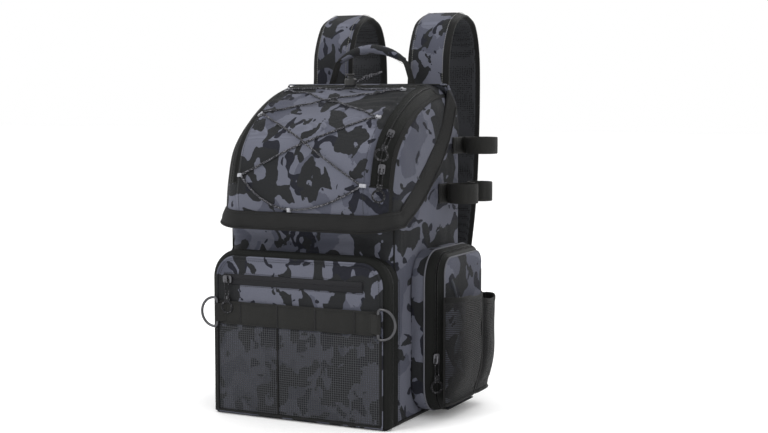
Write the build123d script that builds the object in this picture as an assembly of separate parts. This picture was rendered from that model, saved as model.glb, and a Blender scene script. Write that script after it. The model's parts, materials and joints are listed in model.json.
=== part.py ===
"""Tackle backpack, soft canvas body with hinged door, clamshell lid and side pockets.

Millimetres. X runs across the bag, positive to the right of someone facing its front;
Y runs from the front to the back panel, Z is up. The origin is the centre of the base, on the ground.
"""
from build123d import *
import math
import os

os.makedirs("parts", exist_ok=True)

# ---- driving dimensions ----
WIDTH = 286.0             # body, side to side
DEPTH = 270.0             # body, door face to back panel
WALL = 3.0                # sewn fabric with its foam lining
GAP = 0.4                 # seam clearance between neighbouring pieces
DOOR_HEIGHT = 245.0
DOOR_CORNER = 38.0        # radius of the door's top corners
RIM_DEPTH = 21.0          # moving half of the door's zip gusset
TRACK_DEPTH = 17.0        # fixed half of the door's zip gusset
STRIP_FRONT = -103.0      # outer face of the upper front strip
STRIP_TOP = 287.0
HINGE_Y = 88.0            # lid hinge line
HINGE_Z = 498.0
BACK_BULGE = 138.0        # back panel's outer face at shoulder height
BACK_BEND = 395.0         # height where the back starts to curve forward
POCKET_FRONT = -48.0      # side pockets
POCKET_BACK = 128.0
POCKET_OUT = 191.0
POCKET_SPLIT = 178.0      # plane of the side pockets' zip
POCKET_TOP = 250.0
POCKET_BOTTOM = 8.0
TUBE_OUT = 217.0          # outer face of the mesh rod tubes
STRAP_CENTRE = 86.0       # shoulder straps
STRAP_WIDTH = 72.0
STRAP_THICK = 12.0
CORD = 3.0                # elastic cord diameter

HALF = WIDTH / 2
FRONT = -DEPTH / 2
BACK = DEPTH / 2
INSIDE = HALF - WALL
RIM_BACK = FRONT + WALL + RIM_DEPTH
TRACK_BACK = RIM_BACK + 1.0 + TRACK_DEPTH

# ---- shared curves, as (y, z) points ----
LID_FRONT = [(-127.0, 300.0), (-120.0, 353.0), (-103.0, 404.0), (-66.0, 443.0), (-14.0, 474.0),
             (38.0, 492.0), (HINGE_Y - 1.0, HINGE_Z)]
ZIP_LINE = [(-101.0, 296.0), (-12.0, 356.0), (55.0, 419.0), (HINGE_Y - 1.0, 478.0)]


def save(shape, node):
    """Write one named piece."""
    export_step(shape, "parts/" + node + ".step")


def block(x, y, z):
    """Box from three (low, high) pairs."""
    size = (x[1] - x[0], y[1] - y[0], z[1] - z[0])
    middle = Pos((x[0] + x[1]) / 2, (y[0] + y[1]) / 2, (z[0] + z[1]) / 2)
    return middle * Box(*size)


def along_x(outline, x0, x1):
    """Extrude a (y, z) face from x0 to x1."""
    return extrude(Plane.YZ.offset(x0) * outline, x1 - x0)


def along_y(outline, y0, y1):
    """Extrude an (x, z) face from y0 to y1."""
    return extrude(Plane.XZ.offset(-y1) * outline, y1 - y0)


def mirrored(shape):
    """The same piece on the other side of the bag."""
    return mirror(shape, Plane.YZ)


def outline_face(*lines):
    """Closed flat face from lines and curves drawn in the XY plane."""
    return make_face([edge for line in lines for edge in line.edges()])


def moved(points, dy, dz):
    """Shift a list of (y, z) points."""
    return [(y + dy, z + dz) for y, z in points]


def inward(points, distance):
    """Offset an open row of (y, z) points towards the inside of the bag."""
    result = []
    for i, (y, z) in enumerate(points):
        before = points[max(i - 1, 0)]
        after = points[min(i + 1, len(points) - 1)]
        run = math.hypot(after[0] - before[0], after[1] - before[1])
        across = ((after[1] - before[1]) / run, -(after[0] - before[0]) / run)
        result.append((y + across[0] * distance, z + across[1] * distance))
    return result


def curved_sheet(points, outer, inner):
    """Face between two offsets of a smooth row of (y, z) points."""
    top = inward(points, outer)
    under = inward(points, inner)
    return outline_face(Spline(*top), Line(top[-1], under[-1]), Spline(*under), Line(under[0], top[0]))


def arch_face(half_width, z0, z1, radius):
    """Upright rectangle in (x, z) with rounded top corners."""
    face = Pos(0, (z0 + z1) / 2) * Rectangle(2 * half_width, z1 - z0)
    return fillet(face.vertices().group_by(Axis.Y)[-1], radius)


def arch_band(half_width, z0, z1, radius, thick):
    """Inverted U in (x, z) with an open bottom."""
    hole = arch_face(half_width - thick, z0 - 1, z1 - thick, radius - thick)
    return arch_face(half_width, z0, z1, radius) - hole


def rod(path, radius):
    """Round bar swept along a path."""
    start = path @ 0
    return sweep(Plane(origin=start, z_dir=path % 0) * Circle(radius), path=path)


# ---- body shell ----
def back_curve(offset):
    """Edges of the curved upper back from its bend up to the hinge line."""
    low = (BACK_BULGE - offset, BACK_BEND)
    high = (HINGE_Y + 3 - offset * 0.3, HINGE_Z - 2 - offset)
    middle = (BACK_BULGE - 18 - offset, BACK_BEND + 68 - offset * 0.5)
    return low, middle, high


def base_panel():
    panel = block((-HALF, HALF), (FRONT + WALL + GAP, BACK - WALL - GAP), (0, WALL))
    return fillet(panel.edges().filter_by(Axis.Z), 6)


def base_board():
    board = block((-INSIDE + 4, INSIDE - 4), (TRACK_BACK, BACK - 3 * WALL), (WALL + GAP, WALL + 2.4))
    return fillet(board.edges().filter_by(Axis.Z), 15)


def back_panel():
    outline = outline_face(
        Line((BACK, 0), (BACK_BULGE, BACK_BEND - GAP)),
        Line((BACK_BULGE, BACK_BEND - GAP), (BACK_BULGE - WALL, BACK_BEND - GAP)),
        Line((BACK_BULGE - WALL, BACK_BEND - GAP), (BACK - WALL, 0)),
        Line((BACK - WALL, 0), (BACK, 0)))
    return along_x(outline, -INSIDE + GAP, INSIDE - GAP)


def back_frame_sheet():
    sheet = block((-INSIDE + 12, INSIDE - 12), (BACK - WALL - 3, BACK - WALL - 1.5), (12, BACK_BEND - 8))
    return fillet(sheet.edges().filter_by(Axis.Y), 20)


def top_yoke_panel():
    low, middle, high = back_curve(0)
    low_in, middle_in, high_in = back_curve(WALL)
    outline = outline_face(
        ThreePointArc(low, middle, high), Line(high, high_in),
        ThreePointArc(high_in, middle_in, low_in), Line(low_in, low))
    return along_x(outline, -INSIDE + GAP, INSIDE - GAP)


def side_panel():
    """Right side panel: straight front edges, the main zip's curve on top, the rounded back."""
    zip_edge = moved(ZIP_LINE, 0, -3)
    low, middle, high = back_curve(0)
    outline = outline_face(
        Polyline((BACK - GAP, WALL + GAP), (TRACK_BACK + GAP, WALL + GAP),
                 (TRACK_BACK + GAP, DOOR_HEIGHT + GAP), (STRIP_FRONT, DOOR_HEIGHT + GAP),
                 (STRIP_FRONT, zip_edge[0][1]), zip_edge[0]),
        Spline(*zip_edge), Line(zip_edge[-1], high),
        ThreePointArc(high, middle, low), Line(low, (BACK - GAP, WALL + GAP)))
    return along_x(outline, INSIDE, HALF)


def front_strip_panel():
    across = (-INSIDE + GAP, INSIDE - GAP)
    return block(across, (STRIP_FRONT, STRIP_FRONT + WALL), (DOOR_HEIGHT + GAP, STRIP_TOP))


def divider_floor():
    across = (-INSIDE + 1, INSIDE - 1)
    floor = block(across, (TRACK_BACK + 1, BACK - WALL - 4), (DOOR_HEIGHT - 8, DOOR_HEIGHT - 4))
    return fillet(floor.edges().filter_by(Axis.Z), 8)


def door_zip_track():
    return along_y(arch_band(HALF, WALL + GAP, DOOR_HEIGHT, DOOR_CORNER, WALL), RIM_BACK + 1, TRACK_BACK)


# ---- tray door ----
def door_panel():
    return along_y(arch_face(HALF, WALL, DOOR_HEIGHT, DOOR_CORNER), FRONT, FRONT + WALL)


def door_rim():
    return along_y(arch_band(HALF, 2 * WALL, DOOR_HEIGHT, DOOR_CORNER, WALL), FRONT + WALL + GAP, RIM_BACK)


WEB_LOW = 138.0           # webbing row across the door
WEB_HIGH = 173.0
WEB_FRONT = FRONT - 3.2
RING_X = 135.0            # D-ring bars
RING_Y = FRONT - 6.6
RING_Z = (WEB_LOW + WEB_HIGH) / 2
RING_WIRE = 2.0
TACK_PITCH = 64.0


def door_mesh_pocket():
    return block((-HALF + 5, HALF - 5), (FRONT - 2.2, FRONT - 0.8), (2 * WALL, WEB_LOW - 1))


def molle_webbing():
    """Webbing row held off the door by bar tacks, and a folded tab round each D-ring bar."""
    strap = block((-HALF + 1, HALF - 1), (WEB_FRONT, WEB_FRONT + 1.5), (WEB_LOW, WEB_HIGH))
    tacks = [(i - 1.5) * TACK_PITCH for i in range(4)] + [-HALF + 3, HALF - 3]
    for x in tacks:
        strap += block((x - 1.5, x + 1.5), (WEB_FRONT + 1.4, FRONT - 0.2), (WEB_LOW, WEB_HIGH))
    tab = block((RING_X - 4, RING_X + 4), (RING_Y - 3.4, WEB_FRONT), (RING_Z - 15, RING_Z + 15))
    tab -= Pos(RING_X, RING_Y, RING_Z) * Cylinder(RING_WIRE + 0.08, 40)
    return Compound([strap, tab, mirrored(tab)])


def d_ring():
    """Right D-ring: straight bar in the tab, round bow outwards."""
    bar, corner, bow = 17.0, 5.0, 22.0
    upright = Pos(corner, 0, 0) * Rot(90, 0, 0)
    ring = Cylinder(RING_WIRE, 2 * bar)
    ring += upright * Rot(0, 0, -90) * Torus(bow, RING_WIRE, major_angle=180, align=None)
    ring += upright * Pos(0, bar) * Rot(0, 0, 90) * Torus(corner, RING_WIRE, major_angle=90, align=None)
    ring += upright * Pos(0, -bar) * Rot(0, 0, 180) * Torus(corner, RING_WIRE, major_angle=90, align=None)
    return Pos(RING_X, RING_Y, RING_Z) * ring


FRONT_ZIP_X = (-114.0, 108.0)
FRONT_ZIP_Z = (198.0, 214.0)
FRONT_SLIDER = (-118.0, FRONT - 2.0, 206.0)


def door_pocket_zip():
    """Coated zip: two tapes with the slit between them."""
    x = (FRONT_ZIP_X[0] - 10, FRONT_ZIP_X[1])
    upper = block(x, (FRONT - 1.4, FRONT - 0.3), (206.4, FRONT_ZIP_Z[1]))
    lower = block(x, (FRONT - 1.4, FRONT - 0.3), (FRONT_ZIP_Z[0], 205.6))
    return Compound([upper, lower])


# ---- zip hardware, drawn facing -Y on a surface at y = 0, then placed ----
BAIL_Y = -4.1             # pivot of a pull in its slider's bail


def zip_slider(width=10.0, length=15.0):
    """Slider body with a bail for the pull; the default travels along Z."""
    body = block((-width / 2, width / 2), (-3.2, -0.6), (-length / 2, length / 2))
    body = fillet(body.edges().filter_by(Axis.Y), 3)
    bail = block((-1.2, 1.2), (-6.0, -3.1), (-4.8, 4.8)) - block((-2, 2), (-5.0, -3.2), (-3.8, 3.8))
    return body + bail


def cord_pull(drop=42.0, ring=8.5):
    """Cord through the bail, gathered by a moulded sleeve that ends in a ring."""
    pull = Pos(0, BAIL_Y, 0) * Rot(0, 90, 0) * Cylinder(0.6, 6.8)
    strand = Cylinder(0.8, drop - ring - 2)
    for side in (-1, 1):
        pull += Pos(side * 2.8, BAIL_Y, -(drop - ring - 2) / 2) * strand
    sleeve = block((-4.4, 4.4), (BAIL_Y - 1.6, BAIL_Y + 1.6), (-drop + ring, -drop + ring + 9))
    pull += fillet(sleeve.edges(), 1)
    return pull + Pos(0, BAIL_Y, -drop) * Rot(90, 0, 0) * Torus(ring, 1.5)


def on_surface(origin, outward, up=(0, 0, 1)):
    """Placement that turns the drawn -Y into outward and the drawn Z into up."""
    across = Vector(*up).cross(Vector(*outward))
    return Plane(origin=origin, x_dir=across, z_dir=up).location


# ---- lid ----
LID_CURVE = Spline(*LID_FRONT)


def on_lid(x, z, lift):
    """Point over the lid's front curve at height z, raised by lift along the surface normal."""
    low, high = 0.0, 1.0
    for _ in range(30):
        middle = (low + high) / 2
        if (LID_CURVE @ middle).Y < z:
            low = middle
        else:
            high = middle
    spot = LID_CURVE @ low
    along = LID_CURVE % low
    return Vector(x, spot.X - along.Y * lift, spot.Y + along.X * lift)


def lid_tangent(z):
    """Unit direction up the lid's front curve at height z."""
    step = (on_lid(0, z + 1, 0) - on_lid(0, z - 1, 0)).normalized()
    return (0, step.Y, step.Z)


LID_RADIUS = 40.0         # rounding from the lid's front and top into its sides
PANEL_HALF = 109.0        # lid pocket panel
PANEL_LOW = 304.0
PANEL_REAR = 36.0
BAND_EDGE = 136.2         # outer edge of the pocket's zip gusset
BAND_REAR = 62.0
CORD_LOOPS = {"L1": (-102, 486), "L2": (-101, 446), "L3": (-102, 360), "B": (-17, 313),
              "R1": (97, 486), "R2": (98, 443), "R3": (101, 350)}
LOCK_X = 5.0
LOCK_Y = 26.0


def lid_volume(inset, open_below):
    """Solid inside the lid's outer face, its long edges rounded; open_below carries it down past the zip."""
    points = inward(LID_FRONT, inset)
    if open_below:
        floor = [Polyline(points[-1], (points[-1][0], 200), (points[0][0], 200), points[0])]
    else:
        floor = [Line(points[-1], ZIP_LINE[-1]), Spline(*ZIP_LINE), Line(ZIP_LINE[0], points[0])]
    body = along_x(outline_face(Spline(*points), *floor), inset - HALF, HALF - inset)
    curves = body.edges().filter_by(GeomType.BSPLINE).sort_by(SortBy.LENGTH)[-2:]
    return fillet(curves, LID_RADIUS - inset)


LID_SKIN = lid_volume(0, False) - lid_volume(WALL, True)
PANEL_ZONE = block((-PANEL_HALF, PANEL_HALF), (-200, PANEL_REAR), (PANEL_LOW, 600))
BAND_ZONE = block((-BAND_EDGE, BAND_EDGE), (-200, BAND_REAR), (PANEL_LOW, 600))


def grown(zone, amount):
    """The same block, larger by amount on every side."""
    box = zone.bounding_box()
    return block((box.min.X - amount, box.max.X + amount), (box.min.Y - amount, box.max.Y + amount),
                 (box.min.Z - amount, box.max.Z + amount))


def lid_outer_panels():
    """Gussets, rear top and bottom edge of the lid, round the pocket's zip gusset."""
    return LID_SKIN - grown(BAND_ZONE, 0.6)


def lid_shell_panel():
    """Lining of the lid behind the pocket."""
    return lid_volume(WALL + 2, False) - lid_volume(2 * WALL + 2, True)


def lid_pocket_panel():
    return LID_SKIN & PANEL_ZONE


def lid_pocket_zip():
    """Inverted U of zip gusset round the pocket panel."""
    return (LID_SKIN & BAND_ZONE) - grown(PANEL_ZONE, 1)


FLAP_WIDTH = 24.0
FLAP_REACH = 9.0          # how far the flap stands off the lid
FLAP_CLOTH = 2.5
FLAP_LOW = 284.0
FLAP_HIGH = 300.0


def lid_zip_flap():
    """Rain flap over the main zip: across the front, round the corners and up both sides."""
    turn_x = HALF - LID_RADIUS
    turn_y = LID_FRONT[0][0] + LID_RADIUS
    outer = LID_RADIUS + FLAP_REACH
    inner = outer - FLAP_CLOTH
    corner = (Circle(outer) - Circle(inner)) & (Pos(outer / 2, -outer / 2) * Rectangle(outer, outer))
    bend = Pos(turn_x, turn_y, FLAP_LOW) * extrude(corner, FLAP_HIGH - FLAP_LOW)
    bend &= block((0, 200), (-200, turn_y - 1), (0, 600))
    upper = moved(ZIP_LINE, 0, 11)
    lower = moved(ZIP_LINE, FLAP_WIDTH * 0.5, -FLAP_WIDTH * 0.6)
    seam_low = moved(ZIP_LINE, 0, 8)
    band = outline_face(Spline(*upper), Line(upper[-1], lower[-1]), Spline(*lower), Line(lower[0], upper[0]))
    seam = outline_face(
        Spline(*upper), Line(upper[-1], seam_low[-1]), Spline(*seam_low), Line(seam_low[0], upper[0]))
    behind = block((0, 200), (turn_y - 1, 200), (0, 600))
    flank = along_x(band, HALF + FLAP_REACH - FLAP_CLOTH, HALF + FLAP_REACH) & behind
    edge = along_x(seam, HALF + 0.3, HALF + FLAP_REACH - FLAP_CLOTH) & behind
    front = block((-turn_x - 0.5, turn_x + 0.5), (turn_y - outer, turn_y - inner), (FLAP_LOW, FLAP_HIGH))
    depth = (turn_y - inner - 0.5, LID_FRONT[0][0] - 0.4)
    front += block((-turn_x, turn_x), depth, (FLAP_HIGH - 3, FLAP_HIGH))
    front += bend + mirrored(bend)
    return Compound([front, flank, edge, mirrored(flank), mirrored(edge)])


def cord_run(stops, bump):
    """One stretch of elastic cord over the panel through (x, z) stops."""
    points = []
    for i, (x, z) in enumerate(stops):
        share = i / (len(stops) - 1)
        points.append(on_lid(x, z, 3.0 + bump * math.sin(math.pi * share)))
    return rod(Spline(*points), CORD / 2)


def straight_stops(start, end, trim=0.04, count=7):
    """Evenly spaced stops between two loops, kept clear of both."""
    stops = []
    for i in range(count):
        share = trim + (1 - 2 * trim) * i / (count - 1)
        stops.append((start[0] + (end[0] - start[0]) * share, start[1] + (end[1] - start[1]) * share))
    return stops


def bungee_cord():
    spots = CORD_LOOPS
    lock_side = 13.0
    lock_z = on_lid(0, 488, 0).Z
    runs = [cord_run(straight_stops(spots["L1"], spots["R2"]), 0),
            cord_run(straight_stops(spots["R2"], spots["L3"]), 0),
            cord_run(straight_stops(spots["R3"], spots["L2"]), 4.5),
            cord_run(straight_stops(spots["L2"], spots["R1"]), 4.5),
            cord_run([(-102, 352), (-98, 334), (-74, 318), (-25, 311.5)], 0),
            cord_run([(-9, 311.5), (50, 315), (86, 330), (99, 343)], 0),
            cord_run([(-95, 487.3), (-55, 488.4), (LOCK_X - lock_side, lock_z)], 0),
            cord_run([(90, 487.3), (55, 488.4), (LOCK_X + lock_side, lock_z)], 0)]
    return Compound(runs)


def bungee_loops():
    """Folded webbing tabs under the cord, one at each turn."""
    tabs = []
    for x, z in CORD_LOOPS.values():
        spot = Plane(origin=on_lid(x, z, 0.8), x_dir=(1, 0, 0), z_dir=on_lid(x, z, 1) - on_lid(x, z, 0))
        tabs.append(spot * Box(8, 12, 1))
    return Compound(tabs)


LOCK_BASE = 493.5
LOCK_TOP = 506.5
LOCK_BORE = 4.1


def cord_lock_body():
    body = Pos(LOCK_X, LOCK_Y, (LOCK_BASE + LOCK_TOP) / 2) * Cylinder(9.2, LOCK_TOP - LOCK_BASE)
    body = fillet(body.edges().filter_by(GeomType.CIRCLE), 3)
    return body - Pos(LOCK_X, LOCK_Y, LOCK_TOP) * Cylinder(LOCK_BORE, 2 * (LOCK_TOP - LOCK_BASE - 3.5))


def cord_lock_button():
    shank = Pos(LOCK_X, LOCK_Y, LOCK_TOP) * Cylinder(LOCK_BORE - 0.08, 9)
    head = Pos(LOCK_X, LOCK_Y, LOCK_TOP + 5.5) * Cylinder(6.5, 3)
    return shank + fillet(head.edges(), 1.2)


def cord_lock_spring():
    wire = 0.35
    low = LOCK_BASE + 3.5 + wire + 0.1
    high = LOCK_TOP - 4.5 - wire - 0.1
    coil = Helix(pitch=1.2, height=high - low, radius=3.1)
    return Pos(LOCK_X, LOCK_Y, low) * rod(coil, wire)


# ---- side pockets and rod holders ----
def pocket_solid(grow):
    """Whole side pocket volume, with the large front corner and smaller rear corner."""
    inner = HALF + GAP
    out = POCKET_OUT + grow
    front = POCKET_FRONT - grow
    rear = POCKET_BACK + grow
    big, small = 44.0 + grow, 25.0 + grow
    plan = outline_face(
        Line((inner, front), (out - big, front)),
        ThreePointArc((out - big, front), (out - big * 0.293, front + big * 0.293), (out, front + big)),
        Line((out, front + big), (out, rear - small)),
        ThreePointArc((out, rear - small), (out - small * 0.293, rear - small * 0.293), (out - small, rear)),
        Line((out - small, rear), (inner, rear)), Line((inner, rear), (inner, front)))
    low = POCKET_BOTTOM - grow
    high = POCKET_TOP + grow
    body = Pos(0, 0, low) * extrude(plan, high - low)
    side_view = Pos((front + rear) / 2, (low + high) / 2) * Rectangle(rear - front, high - low)
    upright = along_x(side_view, inner, out)
    corners = upright.edges().filter_by(Axis.X).group_by(Axis.Z)[-1]
    return body & fillet(corners, 34 + grow)


POCKET_SKIN = pocket_solid(0) - pocket_solid(-WALL)


def pocket_shell():
    """Fixed half: gusset from the bag out to the zip, closed underneath, with a fabric inner wall."""
    fixed = POCKET_SKIN & block((HALF, POCKET_SPLIT - 0.5), (-300, 300), (0, 300))
    floor = POCKET_SKIN & block((HALF, POCKET_OUT - WALL - 0.5), (-300, 300), (0, POCKET_BOTTOM + WALL))
    return fixed + floor


def pocket_panel():
    """Moving half: outer face and rim, closed by the zip along its inner edge."""
    return POCKET_SKIN & block((POCKET_SPLIT + 0.5, 300), (-300, 300), (POCKET_BOTTOM + WALL + GAP, 300))


TUBES = {"front": (-37.0, 60.0, 184.0), "rear": (63.0, 126.0, 172.0)}
TUBE_LOW = 24.0
TUBE_SKIN = 1.6


def rod_mesh():
    """Two open-topped mesh tubes on the outer face of the side pocket."""
    tubes = None
    start = POCKET_OUT + GAP
    for y0, y1, top in TUBES.values():
        outer = block((start, TUBE_OUT), (y0, y1), (TUBE_LOW, top))
        upright = outer.edges().filter_by(Axis.Z).group_by(Axis.X)[-1]
        under = outer.edges().filter_by(Axis.Y).group_by(Axis.Z)[0].sort_by(Axis.X)[-1:]
        outer = fillet(upright + under, 11)
        inner = block((start + TUBE_SKIN, TUBE_OUT - TUBE_SKIN), (y0 + TUBE_SKIN, y1 - TUBE_SKIN),
                      (TUBE_LOW + 2, top + 1))
        inner = fillet(inner.edges().filter_by(Axis.Z).group_by(Axis.X)[-1], 9)
        tube = outer - inner
        tubes = tube if tubes is None else tubes + tube
    web = block((start, start + TUBE_SKIN), (TUBES["front"][1] - 1, TUBES["rear"][0] + 1), (TUBE_LOW, 172))
    return tubes + web


STRAP_WALL = 2.2          # doubled webbing
LOWER_BAND = (315.0, 345.0)
UPPER_BAND = (389.0, 415.0)
LOWER_LOBES = [(173.0, 78.0, 20.0), (176.0, 137.0, 17.0)]
UPPER_LOBE = (177.0, 141.0, 22.5)


def band_ring(x, y, radius, band):
    """Round loop of webbing about a vertical axis."""
    middle = (band[0] + band[1]) / 2
    height = band[1] - band[0]
    return Pos(x, y, middle) * (Cylinder(radius + STRAP_WALL, height) - Cylinder(radius, height + 2))


def rod_strap_lower():
    """Two loops side by side with a tail along the side panel to the stitched root."""
    (x1, y1, r1), (x2, y2, r2) = LOWER_LOBES
    strap = block((HALF + 0.6, HALF + 0.6 + STRAP_WALL), (50, y1 + 6), LOWER_BAND)
    strap += block((HALF + 0.6, x1 - r1), (y1 - 3, y1 + 3), LOWER_BAND)
    strap += block((x1 - 2, x1 + 2), (y1 + r1, y2 - r2), LOWER_BAND)
    for x, y, radius in LOWER_LOBES:
        strap += band_ring(x, y, radius, LOWER_BAND)
    for x, y, radius in LOWER_LOBES:
        strap -= Pos(x, y, LOWER_BAND[0]) * Cylinder(radius, 100)
    return strap


def rod_strap_upper():
    """One loop behind the back corner with a tail to its stitched root."""
    x, y, radius = UPPER_LOBE
    strap = block((HALF + 0.6, HALF + 0.6 + STRAP_WALL), (104, y + 4), UPPER_BAND)
    strap += block((HALF + 0.6, x - radius - 0.5), (y, y + 4), UPPER_BAND)
    strap += band_ring(x, y, radius, UPPER_BAND)
    return strap - Pos(x, y, UPPER_BAND[0]) * Cylinder(radius, 100)


# ---- carrying ----
HANDLE_Y = 110.0
GRIP_END = 59.0
GRIP_LOW = 532.0
GRIP_HIGH = 554.0
GRIP_RADIUS = 9.0
HANDLE_ROOT = 490.0


def handle_grip():
    end = (GRIP_END, HANDLE_Y, GRIP_LOW)
    bend = ThreePointArc((-GRIP_END, HANDLE_Y, GRIP_LOW), (0, HANDLE_Y, GRIP_HIGH), end)
    return rod(bend, GRIP_RADIUS)


def handle_webbing():
    """Webbing legs from the grip's ends to the yoke."""
    leg = outline_face(Polyline(
        (GRIP_END - 0.4, GRIP_LOW - 2.0), (GRIP_END + 1.9, GRIP_LOW + 0.6), (GRIP_END + 15, HANDLE_ROOT),
        (GRIP_END + 12, HANDLE_ROOT), (GRIP_END - 0.4, GRIP_LOW - 2.0)))
    strip = along_y(leg, HANDLE_Y - 7, HANDLE_Y + 7)
    return Compound([strip, mirrored(strip)])


STRAP_UP = [(130.0, 462.0), (139.0, 500.0), (143.0, 548.0), (164.0, 592.0), (200.0, 607.8), (205.0, 608.0)]
STRAP_DOWN = [(209.0, 608.0), (214.0, 607.8), (250.0, 590.0), (267.0, 540.0), (268.0, 440.0),
              (258.0, 320.0), (236.0, 230.0), (215.0, 176.0)]


def strap_pad(points):
    """Right padded strap along a (y, z) centre line."""
    half = STRAP_THICK / 2
    sheet = curved_sheet(points, -half, half)
    return along_x(sheet, STRAP_CENTRE - STRAP_WIDTH / 2, STRAP_CENTRE + STRAP_WIDTH / 2)


LADDER = Vector(STRAP_CENTRE, 207.0, 158.0)


def ladder_lock():
    """Moulded frame with two webbing slots, hanging from the padded strap."""
    fall = Vector(0, -0.4, -0.92).normalized()
    place = Plane(origin=LADDER, x_dir=(1, 0, 0), z_dir=Vector(1, 0, 0).cross(fall))
    frame = fillet(Box(33, 24, 4).edges().filter_by(Axis.Z), 3)
    for shift in (-6.5, 5.5):
        frame -= Pos(0, shift, 0) * Box(26, 3.6, 10)
    return place * frame


WEB_HALF = 12.5           # 25 mm webbing
ANCHOR_Z = 30.0


def lower_webbing():
    """Webbing from each bottom corner up to just below the ladder lock, opened there."""
    low = (BACK + 4.2, ANCHOR_Z)
    high = (LADDER.Y - 8.0, LADDER.Z - 15.0)
    outline = outline_face(Polyline(low, (low[0] + 1.6, low[1] - 1), (high[0] + 1.6, high[1] - 1), high, low))
    strip = along_x(outline, STRAP_CENTRE - WEB_HALF, STRAP_CENTRE + WEB_HALF)
    return Compound([strip, mirrored(strip)])


def strap_anchors():
    """Stitched tabs that hold the lower webbing at the bottom corners."""
    tab = block((STRAP_CENTRE - 20, STRAP_CENTRE + 20), (BACK + 0.8, BACK + 3.6), (8, ANCHOR_Z + 8))
    return Compound([tab, mirrored(tab)])


def back_pads():
    """Two upper pads and a lumbar pad on the back panel."""
    pads = []
    for x in ((-112, -14), (14, 112)):
        pads.append(fillet(block(x, (BACK + 4, BACK + 15), (150, 385)).edges(), 5))
    pads.append(fillet(block((-112, 112), (BACK + 4, BACK + 17), (52, 138)).edges(), 6))
    return Compound(pads)


# ---- where the sliders sit ----
LID_SLIDER_TURN = math.radians(32)     # how far round the lid's rounded edge
LID_SLIDER_Z = {"upper": 428.0, "lower": 376.0}
LID_PULLS = {"upper": (44.0, 9.5), "lower": (40.0, 8.5)}
SIDE_SLIDER = (178.0, -35.0, 92.0)
DOOR_SLIDER = (-HALF - 0.2, RIM_BACK + 0.5, 112.0)
MAIN_SLIDER = 0.57        # share of the way up the main zip's curve


def lid_corner(height, lift=0):
    """Point on the lid's rounded right edge where the sliders run, with its outward direction."""
    centre = on_lid(HALF - LID_RADIUS, height, -LID_RADIUS)
    forward = on_lid(0, height, 1) - on_lid(0, height, 0)
    outward = forward * math.cos(LID_SLIDER_TURN) + Vector(math.sin(LID_SLIDER_TURN), 0, 0)
    return centre + outward * (LID_RADIUS + lift), outward


def save_sliders():
    """Every zip slider and pull, at its place."""
    front = Pos(*FRONT_SLIDER)
    save(front * zip_slider(15, 11), "front_zip_slider")
    save(front * cord_pull(42), "front_zip_pull")
    for name, height in LID_SLIDER_Z.items():
        place = on_surface(*lid_corner(height), lid_tangent(height))
        save(place * zip_slider(), "lid_zip_slider_" + name)
        save(place * cord_pull(*LID_PULLS[name]), "lid_zip_pull_" + name)
    place = on_surface(SIDE_SLIDER, (math.sqrt(0.5), -math.sqrt(0.5), 0))
    slider = place * zip_slider()
    pull = place * cord_pull(42)
    for side, turn in (("right", lambda part: part), ("left", mirrored)):
        save(turn(slider), "side_zip_slider_" + side)
        save(turn(pull), "side_zip_pull_" + side)
    place = on_surface(DOOR_SLIDER, (-1, 0, 0))
    save(place * (zip_slider() + cord_pull(36, 7)), "door_zip_slider")
    zip_curve = Spline(*moved(ZIP_LINE, 0, -1.5))
    spot = zip_curve @ MAIN_SLIDER
    along = zip_curve % MAIN_SLIDER
    origin = (-HALF - 0.2, spot.X, spot.Y)
    slider = on_surface(origin, (-1, 0, 0), (0, along.X, along.Y)) * zip_slider()
    save(slider + on_surface(origin, (-1, 0, 0)) * cord_pull(36, 7), "main_zip_slider")


single = {
    "base_panel": base_panel, "base_board": base_board, "back_panel": back_panel,
    "back_frame_sheet": back_frame_sheet, "top_yoke_panel": top_yoke_panel,
    "front_strip_panel": front_strip_panel, "divider_floor": divider_floor, "door_zip_track": door_zip_track,
    "back_pads": back_pads, "strap_anchors": strap_anchors, "lower_webbing": lower_webbing,
    "door_panel": door_panel, "door_rim": door_rim, "door_mesh_pocket": door_mesh_pocket,
    "molle_webbing": molle_webbing, "door_pocket_zip": door_pocket_zip,
    "lid_outer_panels": lid_outer_panels, "lid_shell_panel": lid_shell_panel, "lid_zip_flap": lid_zip_flap,
    "lid_pocket_zip": lid_pocket_zip, "lid_pocket_panel": lid_pocket_panel, "bungee_cord": bungee_cord,
    "bungee_loops": bungee_loops, "cord_lock_body": cord_lock_body, "cord_lock_button": cord_lock_button,
    "cord_lock_spring": cord_lock_spring, "handle_grip": handle_grip, "handle_webbing": handle_webbing}
paired = {
    "side_panel": side_panel, "d_ring": d_ring, "pocket_shell": pocket_shell, "pocket_panel": pocket_panel,
    "rod_mesh": rod_mesh, "rod_strap_lower": rod_strap_lower, "rod_strap_upper": rod_strap_upper,
    "shoulder_yoke": lambda: strap_pad(STRAP_UP), "shoulder_pad": lambda: strap_pad(STRAP_DOWN),
    "ladder_lock": ladder_lock}

for node, make in single.items():
    save(make(), node)
for node, make in paired.items():
    right = make()
    save(right, node + "_right")
    save(mirrored(right), node + "_left")
save_sliders()
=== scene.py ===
"""Looks of the tackle backpack: canvas, webbing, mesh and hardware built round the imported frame.

Shapes are worked out in millimetres in the frame's axes (X across, Y to the back, Z up) and
scaled to metres when a mesh is made.
"""

import json
import math

import bmesh
import bpy
import numpy as np
from mathutils import Matrix, Vector, noise


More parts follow.
